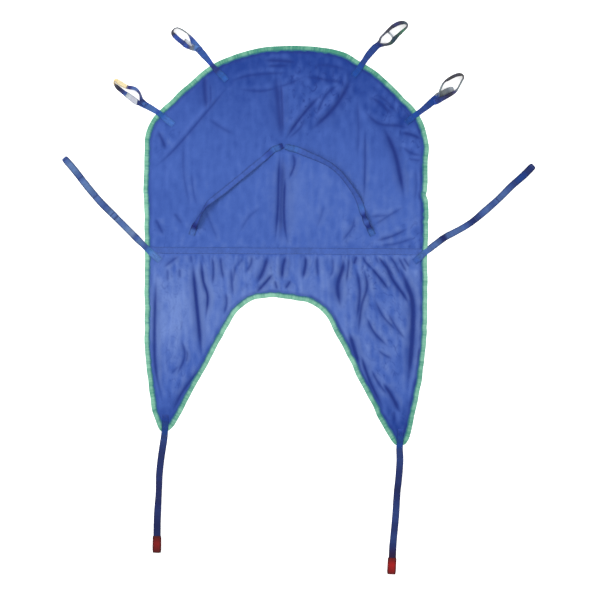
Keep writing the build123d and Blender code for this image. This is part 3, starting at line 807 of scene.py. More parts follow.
# above the band the gathering pulls only a little
lift = np.maximum(mapY - 0.010, 0)
heights += (mapY > 0.010) * easeBetween(0, 0.01, lift) * np.exp(-lift / 0.03) * (0.5 + 0.5 * pleat) * 0.9 * mm
for width, dark, *way in backFolds + seatFolds:
    # a fold: a steep ridge on one side of its dark line, a low one on the other, fading at both ends; the dark line is
    # painted shadow and the ridge side has a painted highlight
    path = smoothPath(np.reshape(way, (-1, 2)) * mm, 0.006)
    cells, gap, share = near(path, 3.2 * width * mm)
    gap = gap / (width * mm)
    fade = easeBetween(0, 0.28, share) * easeBetween(0, 0.32, 1 - share)
    gap = gap / (0.5 + 0.5 * fade)
    ridge = np.exp(-(((gap - 0.8) / 0.62) ** 2)) + 0.4 * np.exp(-(((gap + 1.0) / 0.8) ** 2))
    ridge = ridge - 0.3 * np.exp(-((gap / 0.5) ** 2))
    heights[cells] += fade * ridge * dark * min(width, 20) * lie["foldHeight"] * mm
    shadow = 0.6 * np.exp(-((gap / 0.32) ** 2)) + 0.45 * np.exp(-((gap / 1.2) ** 2))
    shadeMap[cells] = np.maximum(shadeMap[cells], fade * dark * shadow)
    shine[cells] = np.maximum(shine[cells], fade * (0.4 + dark) * np.exp(-(((gap - 1.5) / 0.8) ** 2)))
print("folds laid")
edgeGap = np.full_like(mapX, 0.2)
for first in range(0, len(edge), 12):
    cells, gap = near(edge[np.arange(first, first + 13) % len(edge)], 0.045)[:2]
    edgeGap[cells] = np.minimum(edgeGap[cells], np.abs(gap))
pressing = easeBetween(*lie["edgeClear"], edgeGap) * easeBetween(*lie["waistClear"], np.abs(mapY))
for x1, y1, x2, y2, half in pressed:
    cells, gap = near(np.array([[x1, y1], [x2, y2]]) * mm, 0.045)[:2]
    pressing[cells] *= easeBetween(half * mm, (half + 16) * mm, np.abs(gap))
heights = np.maximum(heights, 0) * pressing
# painted shadow in a band just inside the binding's inner lip, patchy, and stronger towards the right and the head
rim = np.exp(-(((edgeGap - lie["rimPlace"]) / lie["rimWidth"]) ** 2))
rim = rim * (0.55 + 0.45 * easeBetween(-1, 1, cloud(31, 0.12, 0.12)))
rim = rim * (0.45 + 0.55 * easeBetween(-0.25, 0.25, mapX + 0.5 * np.maximum(mapY, -0.1)))
shadeMap = np.clip(np.maximum(shadeMap, rim * lie["rimDark"]), 0, 1)
toneAndLightMap = np.interp(mapY / mm, *np.transpose(toneByHeight))
for x, y, reach, more in toneAreas:
    toneAndLightMap += more * roundSpot(x, y, reach)
# painted sheen: faint pale and dark streaks on the seat and legs
silk = lie["silk"] * (calm - lie["calm"]) * cloud(34, 0.030, 0.10)
toneAndLightMap = toneAndLightMap + silk + (0.03 + lie["crumpleTone"] * zone) * cloud(33, 0.05, 0.09)
# painted highlight on raised cloth and painted shade where it lies lower
toneAndLightMap = toneAndLightMap + 10.0 * np.clip(heights - lie["baseHeight"], -0.002, 0.004) * pressing
# painted light and shade from small relief, lighter on ridges and darker in hollows: the height less its own blur, a
# Gaussian laid on in the frequency domain; painted highlights beside the folds are added too
waves = [np.fft.fftfreq(count, mapShape["cell"]) for count in mapX.shape]
blur = np.exp(-2 * (math.pi * lie["detailReach"]) ** 2 * (waves[0][:, None] ** 2 + waves[1] ** 2))
relief = heights - np.fft.ifft2(np.fft.fft2(heights) * blur).real
toneAndLightMap += lie["detail"] * calm * np.clip(relief / mm / 1.2, -1, 1) + lie["shine"] * shine * pressing
print("cloth map ready,", mapX.size, "cells")

clothTop = 0.0018
clothThickness = 0.0009
floorGap = 0.00003
webbingThickness = 1.6


def clothPiece(name, x, y):
    # a closed sheet over the flat grid x, y: its upper face is read from the map, its lower face is that less
    # the thickness, and a wall joins them along the rim; returns its area too, half the cross product of each
    # cell's diagonals
    flat = np.stack([x.ravel(), y.ravel()], 1)
    high = clothTop + sampleMap(heights, *flat.T)
    points = np.vstack([np.column_stack([flat, high]), np.column_stack([flat, high - clothThickness])])
    number = np.arange(x.size).reshape(x.shape)
    rim = np.concatenate([number[0, :-1], number[:-1, -1], number[-1, :0:-1], number[:0:-1, 0]])
    faces = gridQuads(*x.shape)
    wall = np.stack([rim, np.roll(rim, -1), np.roll(rim, -1) + x.size, rim + x.size], 1)[:, ::-1]
    shell = np.vstack([faces, faces[:, ::-1] + x.size, wall])
    tone, crease = sampleMap(toneAndLightMap, *flat.T), sampleMap(shadeMap, *flat.T)
    values = dict(tone=np.tile(tone, 2), crease=np.tile(crease, 2))
    piece = buildPiece(name, points, shell, np.tile(flat, (2, 1)), clothPaint, values, sharp=50)
    cell = flat[faces]
    first, second = cell[:, 2] - cell[:, 0], cell[:, 3] - cell[:, 1]
    return piece, float(abs(first[:, 0] * second[:, 1] - first[:, 1] * second[:, 0]).sum() / 2)


def sideOf(first, last, y):
    # x of the cloth's edge at the heights y, between two stations
    run = clothEdge[stationsBetween(first, last)]
    order = run[:, 1].argsort()
    return np.interp(y, run[order, 1], run[order, 0])


def acrossAt(y, share):
    # x at a share of the way from the left side to the right one
    left = sideOf(station["seatLeftLow"], station["neckLeft"], y)
    return left + (sideOf(station["neckRight"], station["seatRightLow"], y) - left) * share


# How many rows and columns each piece of cloth has
clothGrid = dict(torso=(151, 281), head=55, seat=42, leg=140, seatLeft=111, arch=45, seatRight=130)

# Torso: rows between the two sides, from the waist to the neck fold
neckY = joins["neck"]
up = np.linspace(0, neckY, clothGrid["torso"][0])[:, None]
torsoX = acrossAt(up, np.linspace(0, 1, clothGrid["torso"][1]))
torso, torsoArea = clothPiece("torsoCloth", torsoX, up + 0 * torsoX)
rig.replaces(torso, "torso_panel")

# Head: columns from the neck fold up to the crown
crown = clothEdge[stationsBetween(station["neckLeft"], station["neckRight"])]
headX = torsoX[-1]
rise = np.maximum(np.interp(headX, crown[:, 0], crown[:, 1]) - neckY, 0.0012)
headShare = np.linspace(0, 1, clothGrid["head"])[:, None]
head, headArea = clothPiece("headCloth", headX + 0 * headShare, neckY + rise * headShare)
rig.replaces(head, "head_panel")

# Seat: columns from the waist down to the arch between the legs, level with it outside
arch = clothEdge[stationsBetween(station["archRight"], station["archLeft"])]
archEnds = clothEdge[station["archLeft"]], clothEdge[station["archRight"]]
sideX = edgeShape["rightTop"][0] - clothInset
nominal = np.concatenate([
    np.linspace(-sideX, archEnds[0][0], clothGrid["seatLeft"])[:-1],
    np.linspace(archEnds[0][0], archEnds[1][0], clothGrid["arch"])[:-1],
    np.linspace(archEnds[1][0], sideX, clothGrid["seatRight"]),
])
outside = np.maximum(archEnds[0][0] - nominal, nominal - archEnds[1][0])
archDrop = np.interp(nominal, arch[::-1, 0], arch[::-1, 1])
seatLow = archDrop + (joins["leg"] - archDrop) * easeBetween(0, 0.07, outside)
seatShare = np.linspace(0, 1, clothGrid["seat"])[:, None]
seatY = seatLow * seatShare
seatX = acrossAt(seatY, (nominal - nominal[0]) / (nominal[-1] - nominal[0]))
pull = easeBetween(0.6, 1, seatShare) * (nominal - seatX)
seatX = seatX + pull * easeBetween(0, 0.1, np.minimum(nominal - nominal[0], nominal[-1] - nominal))
seat, seatArea = clothPiece("seatCloth", seatX, seatY)
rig.replaces(seat, "gathered_seat_top", "seat_panel")


def evenPoints(line, count):
    # points at even shares of a line's own point numbers
    places = np.linspace(0, len(line) - 1, count)
    return np.stack([np.interp(places, np.arange(len(line)), column) for column in line.T], 1)


def legGrid(top, left, right, rows):
    # Coons patch: the mean of the two ruled surfaces between facing edges, less the corners counted twice
    u = np.linspace(0, 1, len(top))[None, :, None]
    v = np.linspace(0, 1, rows)[:, None, None]
    left, right = evenPoints(left, rows)[:, None], evenPoints(right, rows)[:, None]
    low = left[-1] + (right[-1] - left[-1]) * u[0]
    grid = (1 - v) * top[None] + v * low[None] + (1 - u) * left + u * right
    grid -= (1 - u) * ((1 - v) * top[0] + v * left[-1]) + u * ((1 - v) * top[-1] + v * right[-1])
    return grid[..., 0], grid[..., 1]


def legPiece(name, top, leftWay, rightWay):
    # a leg between its two sides, both starting from the corners of the seat's lower edge
    left = np.vstack([top[:1], leftWay])
    right = np.vstack([top[-1:], rightWay])
    return clothPiece(name, *legGrid(top, left, right, clothGrid["leg"]))


seatBottom = np.stack([seatX[-1], seatLow], 1)
leftTop, rightTop = seatBottom[:clothGrid["seatLeft"]], seatBottom[-clothGrid["seatRight"]:]
legLeft, legLeftArea = legPiece(
    "legClothLeft", leftTop,
    clothEdge[stationsBetween(station["tipLeft"] + 3, station["seatLeftLow"] - 1)][::-1],
    clothEdge[stationsBetween(station["archLeft"] + 1, station["tipLeft"] - 3)],
)
legRight, legRightArea = legPiece(
    "legClothRight", rightTop,
    clothEdge[stationsBetween(station["tipRight"] + 3, station["archRight"] - 1)][::-1],
    clothEdge[stationsBetween(station["seatRightLow"] + 1, station["tipRight"] - 3)],
)
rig.replaces(legLeft, "leg_panel_left")
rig.replaces(legRight, "leg_panel_right")
print("cloth pieces made", [round(a, 4) for a in (torsoArea, headArea, seatArea, legLeftArea, legRightArea)])

# Edge binding: tape folded over the cut edge. Its section, inwards from the edge and up, in millimetres
bindingShape = dict(
    section=[
        (21.2, 1.92), (20.9, 2.5), (19.2, 2.62), (16, 2.72), (13.5, 2.8), (11, 2.85), (6, 2.8), (2.4, 2.5),
        (0.6, 1.95), (0, 1.3), (0.6, 0.62), (2.4, 0.2), (6, 0.05), (12, 0.03), (20.9, 0.03), (21.2, 0.7),
        (12, 0.78), (3.2, 0.78), (1.5, 1.3), (3.2, 1.84), (12, 1.84),
    ],
    pucker=0.5, lipWave=0.9, tipWidth=0.55, tipReach=0.030, stitchIn=15.5, stitchPitch=0.0042,
)
# Brightness of the binding by height in millimetres, as for the cloth, and a little less on the right: painted light
# and shade
bindingByHeight = [(-740, 0.4), (-500, 0.6), (-180, 0.8), (150, 0.7), (450, 0.52), (700, 0.4), (783, 0.15)]


def lineNoise(seed, run, length, count=18):
    # a sum of sine waves along a line, about one high
    dice = np.random.default_rng(seed)
    k = dice.normal(0, 1, count) * 2 * math.pi / length
    return np.cos(k * run[:, None] + dice.uniform(0, 6.3, count)).sum(1) / math.sqrt(count / 2)


def stitches(name, places, ahead, material, length=0.0028, width=0.0006, height=0.00035, body=None):
    # short raised threads: three stations of four corners each, sunk at both ends
    up = np.array([0, 0, 1.0])
    side = np.cross(up, ahead)
    side = side / np.linalg.norm(side, axis=1, keepdims=True)
    along = np.array([-0.5, 0, 0.5])[:, None] * length
    size = np.array([0.45, 1, 0.45])[:, None]
    corner = np.array([[-0.5, -0.6], [0.5, -0.6], [0.5, 1], [-0.5, 1]])
    a = np.broadcast_to(along, (3, 4)).ravel()
    b = (size * corner[:, 0] * width).ravel()
    c = (np.array([0.25, 1, 0.25])[:, None] * corner[:, 1] * height).ravel()
    points = places[:, None] + ahead[:, None] * a[:, None] + side[:, None] * b[:, None] + up * c[:, None]
    ring = gridQuads(3, 4, closed=True)
    one = np.vstack([ring, [[3, 2, 1, 0], [8, 9, 10, 11]]])
    faces = (one[None] + 12 * np.arange(len(places))[:, None, None]).reshape(-1, 4)
    uv = np.column_stack([np.tile(a, len(places)), np.tile(b, len(places))])
    piece = buildPiece(name, points.reshape(-1, 3), faces, uv, material)
    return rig.ride(piece, body) if body else piece


bindingTone = np.interp(edge[:, 1] / mm, *np.transpose(bindingByHeight))
bindingTone = bindingTone - 0.08 * easeBetween(-0.1, 0.1, edge[:, 0])
pucker = lineNoise(51, edgeRun, 0.016) * 0.6 + lineNoise(52, edgeRun, 0.05) * 0.5
lipWave = lineNoise(53, edgeRun, 0.035)
# painted shade in short dashes where the tape puckers finely
puckerShade = np.exp(-((lineNoise(54, edgeRun, 0.022) / 0.16) ** 2))
puckerShade = puckerShade * easeBetween(-0.2, 1.0, lineNoise(55, edgeRun, 0.15))
nearTip = [np.abs(edgeRun - edgeRun[station[k]]) for k in ("tipLeft", "tipRight")]
slim = 1 - (1 - bindingShape["tipWidth"]) * np.exp(-((np.minimum(*nearTip) / bindingShape["tipReach"]) ** 2))


def bindingPiece(name, first, last, node):
    # the section carried along the edge between two stations, puckered, with a cap at each end
    s = stationsBetween(first, last)
    section = np.array(bindingShape["section"]) * mm
    inner = section[:, 0] / section[:, 0].max()
    n = section[:, 0] * slim[s][:, None] + inner**4 * lipWave[s][:, None] * bindingShape["lipWave"] * mm
    top = (section[:, 1] > 1.9 * mm) * np.sin(math.pi * np.clip(inner, 0, 1)) ** 0.7
    z = section[:, 1] + top * (0.35 + pucker[s][:, None]) * bindingShape["pucker"] * mm
    z = np.maximum(z, floorGap)
    flat = edge[s][:, None] + inward[s][:, None] * n[..., None]
    points = np.concatenate([flat, z[..., None]], -1).reshape(-1, 3)
    rows, columns = n.shape
    faces = gridQuads(rows, columns, closed=True).tolist()
    ring = list(range(columns))
    faces += [ring[::-1], [(rows - 1) * columns + k for k in ring]]
    around = np.concatenate([[0], np.cumsum(np.linalg.norm(np.diff(section, axis=0), axis=1))])
    uv = np.stack(np.broadcast_arrays(edgeRun[s][:, None], around[None]), -1).reshape(-1, 2)
    tone = bindingTone[s][:, None] + 0 * n
    # painted light and shade: paler where the tape puckers up, darker towards the cloth and in the fine puckers
    tone = tone + 0.25 * np.clip(pucker[s][:, None], -1.2, 1.2) - 0.25 * easeBetween(0.5, 1, inner)
    spread = np.exp(-(((inner - 0.5) / 0.25) ** 2))
    crease = np.clip(0.95 * easeBetween(0.56, 0.94, inner) + 0.55 * spread * puckerShade[s][:, None] + 0 * n, 0, 1)
    values = dict(tone=tone.ravel(), crease=crease.ravel())
    piece = buildPiece(name, points, faces, uv, bindingPaint, values, sharp=50)
    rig.replaces(piece, node)
    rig.slot(piece, "green_binding")
    line = edge[s] + inward[s] * (bindingShape["stitchIn"] * mm * slim[s])[:, None]
    high = (2.85 + 0.35 * pucker[s] * bindingShape["pucker"]) * mm
    row = evenSteps(np.column_stack([line, high]), bindingShape["stitchPitch"])
    seam = stitches(name + "Seam", row, directionsOf(row), greenThread)
    return piece, seam


# Each length of binding: its stations, then its body, or the two bodies and where it bends. The node it
# stands for has its name in words
backToSeat = ("back", "seat", "seat")
toLegLeft, toLegRight = ("seat", "leg_left", "leg"), ("seat", "leg_right", "leg")
lengths = {
    "binding_head": ("neckLeft", "neckRight", ("back", "head", "neck")),
    "binding_back_left": ("seatLeftTop", "neckLeft", "back"),
    "binding_back_right": ("neckRight", "seatRightTop", "back"),
    "binding_seat_left": ("seatLeftLow", "seatLeftTop", backToSeat),
    "binding_seat_right": ("seatRightTop", "seatRightLow", backToSeat),
    "binding_arch": ("archRight", "archLeft", "seat"),
    "binding_leg_left_outer": ("tipLeft", "seatLeftLow", toLegLeft),
    "binding_leg_left_inner": ("archLeft", "tipLeft", toLegLeft),
    "binding_leg_right_outer": ("seatRightLow", "tipRight", toLegRight),
    "binding_leg_right_inner": ("tipRight", "archRight", toLegRight),
}


def follow(piece, how):
    # rides one body, or bends between two over a span of the cloth's length
    if isinstance(how, str):
        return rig.ride(piece, how)
    first, second, bend = how
    start, end = bends[bend]
    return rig.blend(piece, first, second, start=(0, start, 0), end=(0, end, 0))


for node, (first, last, how) in lengths.items():
    start, *words = node.split("_")
    name = start + "".join(word.title() for word in words)
    for piece in bindingPiece(name, station[first], station[last], node):
        follow(piece, how)
follow(torso, "back")
follow(head, ("back", "head", "neck"))
follow(seat, backToSeat)
follow(legLeft, toLegLeft)
follow(legRight, toLegRight)
print("binding sewn on,", len(lengths), "lengths")


def webbingWay(rows, spacing=0.004, thickness=webbingThickness, closed=False):
    # rows of x, y, height of the lower edge, lean, width and dye, in millimetres and degrees, become a smooth
    # way: its middle is half the width times sin(lean) and half the thickness times cos(lean) above that edge
    table = np.array([[*(v * mm for v in place), lean, wide, *dyes[dye]] for *place, lean, wide, dye in rows])
    way = smoothPath(table, spacing, closed=closed)
    turn = np.radians(way[:, 3])
    way[:, 2] += (way[:, 4] / 2 * np.abs(np.sin(turn)) + thickness / 2 * np.abs(np.cos(turn))) * mm
    way[:, 5:] = np.clip(way[:, 5:], 0.002, 1)
    return way


def axesOf(way, side=None):
    # the way ahead, and the way's sideways and upward directions turned by its lean about it
    ahead = directionsOf(way[:, :3])
    if side is None:
        side = np.cross([0, 0, 1.0], ahead)
        side = side / np.maximum(np.linalg.norm(side, axis=1, keepdims=True), 1e-9)
    else:
        side = np.broadcast_to(np.array(side, float), ahead.shape)
    over = np.cross(ahead, side)
    turn = np.radians(way[:, 3])[:, None]
    return ahead, side * np.cos(turn) + over * np.sin(turn), over * np.cos(turn) - side * np.sin(turn)


def runOf(way):
    # the length along a way to each of its stations
    return np.concatenate([[0], np.cumsum(np.linalg.norm(np.diff(way[:, :3], axis=0), axis=1))])


def layWebbing(name, way, thickness=webbingThickness, extra=0.0, side=None, sharp=40, start=0.0,
               slot="blue_webbing", rims=0.0):
    # a band of woven tape along a way: fourteen corners round its section, both ends closed, rims darkened by painted
    # shade
    ahead, sideways, upwards = axesOf(way, side)
    half, high = (way[:, 4] + extra) * mm / 2, thickness * mm / 2
    a = np.array([-1, -0.94, -0.82, -0.5, 0, 0.5, 0.82, 0.94, 1, 0.94, 0.5, 0, -0.5, -0.94])
    b = np.array([0, 1, 1, 1, 1, 1, 1, 1, 0, -1, -1, -1, -1, -1]) * high
    points = way[:, None, :3] + sideways[:, None] * (half[:, None] * a)[..., None]
    points = points + upwards[:, None] * b[:, None]
    points[..., 2] = np.maximum(points[..., 2], floorGap)
    rows, columns = len(way), len(a)
    faces = gridQuads(rows, columns, closed=True).tolist()
    ring = list(range(columns))
    faces += [ring[::-1], [(rows - 1) * columns + k for k in ring]]
    uv = np.stack(np.broadcast_arrays((start + runOf(way))[:, None], half[:, None] * a), -1).reshape(-1, 2)
    # painted shade: the dye darkened towards both rims
    shade = (way[:, None, 5:8] * (1 - rims * easeBetween(0.5, 0.9, np.abs(a)))[:, None]).reshape(-1, 3)
    piece = buildPiece(name, points.reshape(-1, 3), faces, uv, webbingPaint, dyes=shade, sharp=sharp)
    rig.slot(piece, slot)
    return piece


def onWebbing(way, along, aside, thickness=webbingThickness, side=None):
    # points on the upper face: the middle at each run along, moved aside, and half the thickness up
    run = runOf(way)
    ahead, sideways, upwards = axesOf(way, side)
    table = np.hstack([way[:, :3], ahead, sideways, upwards])
    found = np.stack([np.interp(along, run, column) for column in table.T], 1)
    middle, ahead, sideways, upwards = np.split(found, 4, axis=1)
    return middle + sideways * np.asarray(aside)[:, None] + upwards * thickness / 2 * mm, ahead, sideways


def sewLine(way, corners, pitch=0.0033, thickness=webbingThickness):
    # stitches along a line drawn on the webbing through corners given as (along, aside) in millimetres
    line = evenSteps(np.array(corners) * mm, pitch)
    places, ahead, sideways = onWebbing(way, line[:, 0], line[:, 1], thickness)
    heading = directionsOf(line)
    return places, ahead * heading[:, :1] + sideways * heading[:, 1:]


def sewTack(way, along, half=10.0, pitch=0.0014, thickness=webbingThickness):
    # a bar tack: close stitches side by side across the webbing
    aside = np.arange(-half * mm, half * mm, pitch)
    return onWebbing(way, np.full(len(aside), along * mm), aside, thickness)[:2]


def boxAndCross(start, end, half=8.5):
    # corners of a rectangle walked round once, then its two diagonals
    corners = [(start, -half), (end, -half), (end, half), (start, half)]
    return corners + [corners[0], corners[2], corners[1], corners[3]]


# Waist band: tape over and under the seam, sewn along both sides
bandShape = dict(half=516, left=3.4, right=-2.8, width=25.0, thickness=2.5, low=0.05, wave=0.5)
bandXs = np.linspace(-bandShape["half"], bandShape["half"], 25)
bandYs = np.linspace(bandShape["left"], bandShape["right"], 25) + bandShape["wave"] * np.sin(bandXs / 47)
bandRows = [(x, y, bandShape["low"], 0, bandShape["width"], "band") for x, y in zip(bandXs, bandYs)]
addDyes(band=(73, 102, 180))
bandWay = webbingWay(bandRows, thickness=bandShape["thickness"])
bandWay[:, 2] += 0.00025 * np.clip(lineNoise(61, bandWay[:, 0], 0.05), 0, 2)
bandWay[:, 5:] *= (1 + 0.04 * lineNoise(62, bandWay[:, 0], 0.07))[:, None]
waistBand = layWebbing("waistBand", bandWay, bandShape["thickness"], slot="light_blue_cloth")
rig.replaces(waistBand, "waist_band")
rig.ride(waistBand, "back")
bandRun = 2 * bandShape["half"] - 2
for name, aside, thread in (("waistBandSeam", 10.0, blueThread), ("waistBandHem", -10.0, paleThread)):
    places, headings = sewLine(bandWay, [(2, aside), (bandRun, aside)], 0.0040, bandShape["thickness"])
    stitches(name, places, headings, thread, body="back")
print("waist band laid")


def bandPath(way, start, end):
    # the part of a way between its points nearest to two places
    pick = [((way[:, :2] - np.array(place) * mm) ** 2).sum(1).argmin() for place in (start, end)]
    return way[min(pick):max(pick) + 1].copy()


def dyed(way, names):
    # the way with its dye, which in places is painted light and shade, run evenly through the named ones
    shades = np.array([dyes[name] for name in names])
    spread = np.linspace(0, len(shades) - 1, len(way))
    way[:, 5:] = np.stack([np.interp(spread, np.arange(len(shades)), column) for column in shades.T], 1)
    return way


# Upper straps. Each strap: rows from its stitched end on the cloth out to the eye; each loop: rows from the
# eye round and back; each tab: rows, or the part of the loop that it wraps; the band: the two places on the
# loop that its coloured sleeve runs between
# Where a loop's webbing stands on edge, its grey dyes are painted highlight along the lit edge
upperStraps = {
    "head_left": dict(
        parent="head", hinge=(-287.8, 722.6), bearing=134, pivot=(-363.8, 801.4), swing=144,
        strap=[
            (-226, 648, 1.9, 0, 24, "patchHead"), (-236, 659, 1.9, 0, 25, "patchHead"),
            (-250, 673, 1.95, 0, 25, "patchHead"), (-262, 685, 2.3, 0, 22, "navy"),
            (-271, 695, 3.15, 0, 20, "navy"), (-279, 704, 3.1, 0, 18, "navy"),
            (-288, 715, 1.3, 0, 19, "royal"), (-299, 729, 0.1, 4, 22, "dusk"),
            (-312, 744, 0.1, 5, 26, "dusk"), (-326, 760, 0.1, 3, 26, "dusk"),
            (-340, 775, 0.1, 0, 25, "royal"), (-350, 785, 0.1, 0, 25, "royal"),
        ],
        loop=[
            (-326, 762, 1.75, 0, 25, "royal"), (-338, 776, 1.75, 10, 25, "blue"),
            (-349, 790, 1.4, 24, 25, "blue"), (-360, 808, 0.4, 56, 25, "royal"),
            (-371, 823, 0.1, 76, 25, "slate"), (-385, 834, 0.1, 76, 25, "slate"),
            (-400, 843, 0.1, 76, 25, "slate"), (-415, 847, 0.1, 78, 25, "dusky"),
            (-427, 841, 0.1, 78, 25, "ink"), (-431, 829, 0.1, 66, 25, "ink"),
            (-422, 816, 0.1, 50, 25, "royal"), (-407, 802, 0.1, 46, 25, "royal"),
            (-392, 790, 0.1, 45, 25, "navy"), (-380, 779, 0.1, 50, 25, "royal"),
            (-369, 773, 0.6, 62, 25, "navy"), (-356, 769, 2.2, 52, 25, "smoke"),
            (-344, 771, 3.3, 14, 23, "sky"), (-333, 764, 3.35, 0, 21, "blue"),
        ],
        tab=[
            (-384, 804, 6, 44, 12, "ash"), (-377, 796, 5, 36, 18, "white"),
            (-367, 785, 4.6, 24, 20, "white"), (-357, 774, 5, 12, 20, "white"),
            (-347, 767, 5.2, 4, 18, "pearl"),
        ],
        band=((-413, 847), (-420, 814)), bandSlot="green_webbing",
        bandDyes=["slate", "dusky", "ink", "ink", "royal"]),
    "shoulder_left": dict(
        parent="back", hinge=(-505.2, 537.6), bearing=146, pivot=(-565.7, 578.4), swing=147,
        strap=[
            (-428, 480, 1.9, 0, 24, "patchLeft"), (-440, 489, 1.9, 0, 25, "patchLeft"),
            (-455, 501, 1.95, 0, 25, "patchLeft"), (-467, 511, 2.4, 0, 24, "patchHead"),
            (-478, 520, 3.15, 0, 22, "teal2"), (-487, 527, 3.0, 0, 21, "royal"),
            (-498, 534, 1.0, 0, 22, "blue"), (-510, 541, 0.1, 4, 24, "blue"),
            (-524, 549, 0.1, 6, 25, "blue"), (-540, 558, 0.1, 4, 25, "royal"),
            (-553, 567, 0.1, 0, 25, "royal"),
        ],
        loop=[
            (-530, 552, 1.75, 0, 24, "royal"), (-542, 562, 1.75, 14, 24, "navy"),
            (-549, 575, 1.0, 55, 24, "navy"), (-552, 590, 0.1, 72, 25, "navy"),
            (-560, 605, 0.1, 66, 25, "navy"), (-573, 616, 0.1, 55, 25, "blue"),
            (-588, 620, 0.1, 50, 25, "navy"), (-600, 622, 0.1, 52, 25, "navy"),
            (-614, 628, 0.1, 50, 25, "yellow"), (-632, 639, 0.1, 46, 25, "yellow"),
            (-646, 647, 0.1, 56, 25, "yellow"), (-653, 643, 0.1, 81, 25, "coal"),
            (-651, 633, 0.1, 76, 25, "ink"), (-635, 617, 0.1, 52, 25, "ink"),
            (-618, 603, 0.1, 50, 25, "navy"), (-600, 590, 0.1, 36, 25, "blue"),
            (-584, 578, 0.1, 30, 25, "blue"), (-569, 567, 0.8, 30, 25, "navy"),
            (-556, 561, 2.6, 44, 24, "navy"), (-543, 556, 3.35, 8, 22, "blue"),
            (-532, 550, 3.4, 0, 21, "blue"),
        ],
        wrap=((-606, 594), (-566, 564)), wrapDyes=["ash", "pearl", "lilac", "lilac", "pearl"],
        band=((-606, 624), (-634, 616)), bandSlot="yellow_webbing",
        bandDyes=["cream", "cream", "cream", "yellow", "ink", "ink"]),
    "head_right": dict(
        parent="head", hinge=(305.7, 717.5), bearing=48, pivot=(358.0, 775.6), swing=33,
        strap=[
            (255, 664, 1.9, 0, 24, "patchTop"), (266, 678, 1.9, 0, 25, "patchTop"),
            (277, 692, 2.1, 0, 25, "patchTop"), (285, 704, 3.1, 0, 23, "patchTop"),
            (293, 716, 3.1, 0, 22, "dim"), (303, 731, 1.1, 0, 23, "dim"), (314, 746, 0.1, 4, 26, "dim"),
            (327, 761, 0.1, 6, 27, "dim"), (339, 774, 0.1, 4, 26, "dim"), (350, 785, 0.1, 0, 21, "navy"),
            (356, 792, 0.1, 0, 17, "navy"),
        ],
        loop=[
            (342, 772, 1.75, 0, 20, "dim"), (350, 784, 1.75, -30, 21, "navy"),
            (354, 796, 0.8, -68, 25, "dusky"), (360, 811, 0.1, -72, 25, "dusky"),
            (373, 824, 0.1, -70, 25, "dusky"), (385, 835, 0.1, -62, 25, "ink"),
            (399, 848, 0.1, -56, 25, "ink"), (414, 858, 0.1, -52, 25, "deep"),
            (430, 865, 0.1, -50, 25, "teal"), (446, 867, 0.1, -54, 25, "teal"),
            (457, 862, 0.1, -66, 25, "ink"), (460, 853, 0.1, -80, 25, "teal"),
            (452, 843, 0.1, -78, 25, "green"), (439, 832, 0.1, -72, 25, "green"),
            (426, 820, 0.1, -66, 25, "moss"), (414, 808, 0.1, -54, 25, "teal"),
            (405, 797, 0.1, -54, 25, "teal"), (396, 788, 0.1, -66, 25, "moss"),
            (384, 784, 0.1, -72, 25, "dusky"), (371, 782, 0.4, -70, 25, "dusky"),
            (357, 781, 2.6, -44, 20, "navy"), (343, 775, 3.4, 0, 18, "dim"),
        ],
        tab=[
            (386, 831, 4, 72, 12, "ash"), (394, 826, 5, 66, 15, "pearl"), (402, 817, 5, 66, 15, "pearl"),
            (406, 808, 4, 72, 12, "smoke"),
        ],
        band=((403, 851), (431, 825)), bandSlot="black_webbing",
        bandDyes=["ink", "deep", "ink", "teal", "ink", "green", "moss"]),
    "shoulder_right": dict(
        parent="back", hinge=(508.6, 536.5), bearing=41, pivot=(568.6, 588.6), swing=41,
        strap=[
            (455, 486, 1.9, 0, 24, "patchTop"), (466, 496, 1.9, 0, 25, "patchTop"),
            (478, 506, 2.2, 0, 24, "patchTop"), (488, 514, 3.15, 0, 21, "patchTop"),
            (498, 521, 2.9, 0, 21, "patchTop"), (510, 530, 0.8, 0, 21, "dim"),
            (523, 540, 0.1, 3, 23, "dim"), (538, 552, 0.1, 5, 26, "dim"), (553, 565, 0.1, 6, 28, "blue2"),
            (567, 577, 0.1, 3, 29, "blue2"), (580, 588, 0.1, 0, 28, "blue2"),
        ],
        loop=[
            (560, 574, 1.75, 0, 24, "blue2"), (573, 586, 2.2, -30, 24, "dim"),
            (581, 601, 0.8, -76, 25, "slate"), (586, 614, 0.1, -76, 25, "slate"),
            (592, 628, 0.1, -76, 25, "slate"), (601, 641, 0.1, -76, 25, "ink"),
            (618, 653, 0.1, -64, 25, "coal"), (640, 665, 0.1, -60, 25, "ink"),
            (658, 670, 0.1, -60, 25, "coal"), (670, 667, 0.1, -68, 25, "coal"),
            (673, 657, 0.1, -78, 25, "dusky"), (667, 645, 0.1, -76, 25, "slate"),
            (659, 630, 0.1, -76, 25, "slate"), (651, 615, 0.1, -76, 25, "slate"),
            (641, 604, 0.1, -68, 25, "deep"), (624, 594, 0.1, -58, 25, "ink"),
            (606, 584, 0.1, -54, 25, "deep"), (591, 576, 0.4, -52, 25, "navy"),
            (578, 571, 2.6, -30, 24, "navy"), (562, 565, 3.4, 0, 22, "royal"),
        ],
        tab=[
            (570, 586, 5.6, 4, 23, "stone"), (582, 591, 6.2, 8, 25, "smoke"),
            (598, 599, 7, 10, 25, "stone"), (615, 607, 7.6, 10, 25, "smoke"), (629, 612, 8, 8, 24, "ash"),
            (637, 614, 8, 6, 17, "ash"),
        ],
        band=((606, 645), (674, 652)), bandSlot="black_webbing",
        bandDyes=["ink", "coal", "ink", "coal", "coal"]),
}
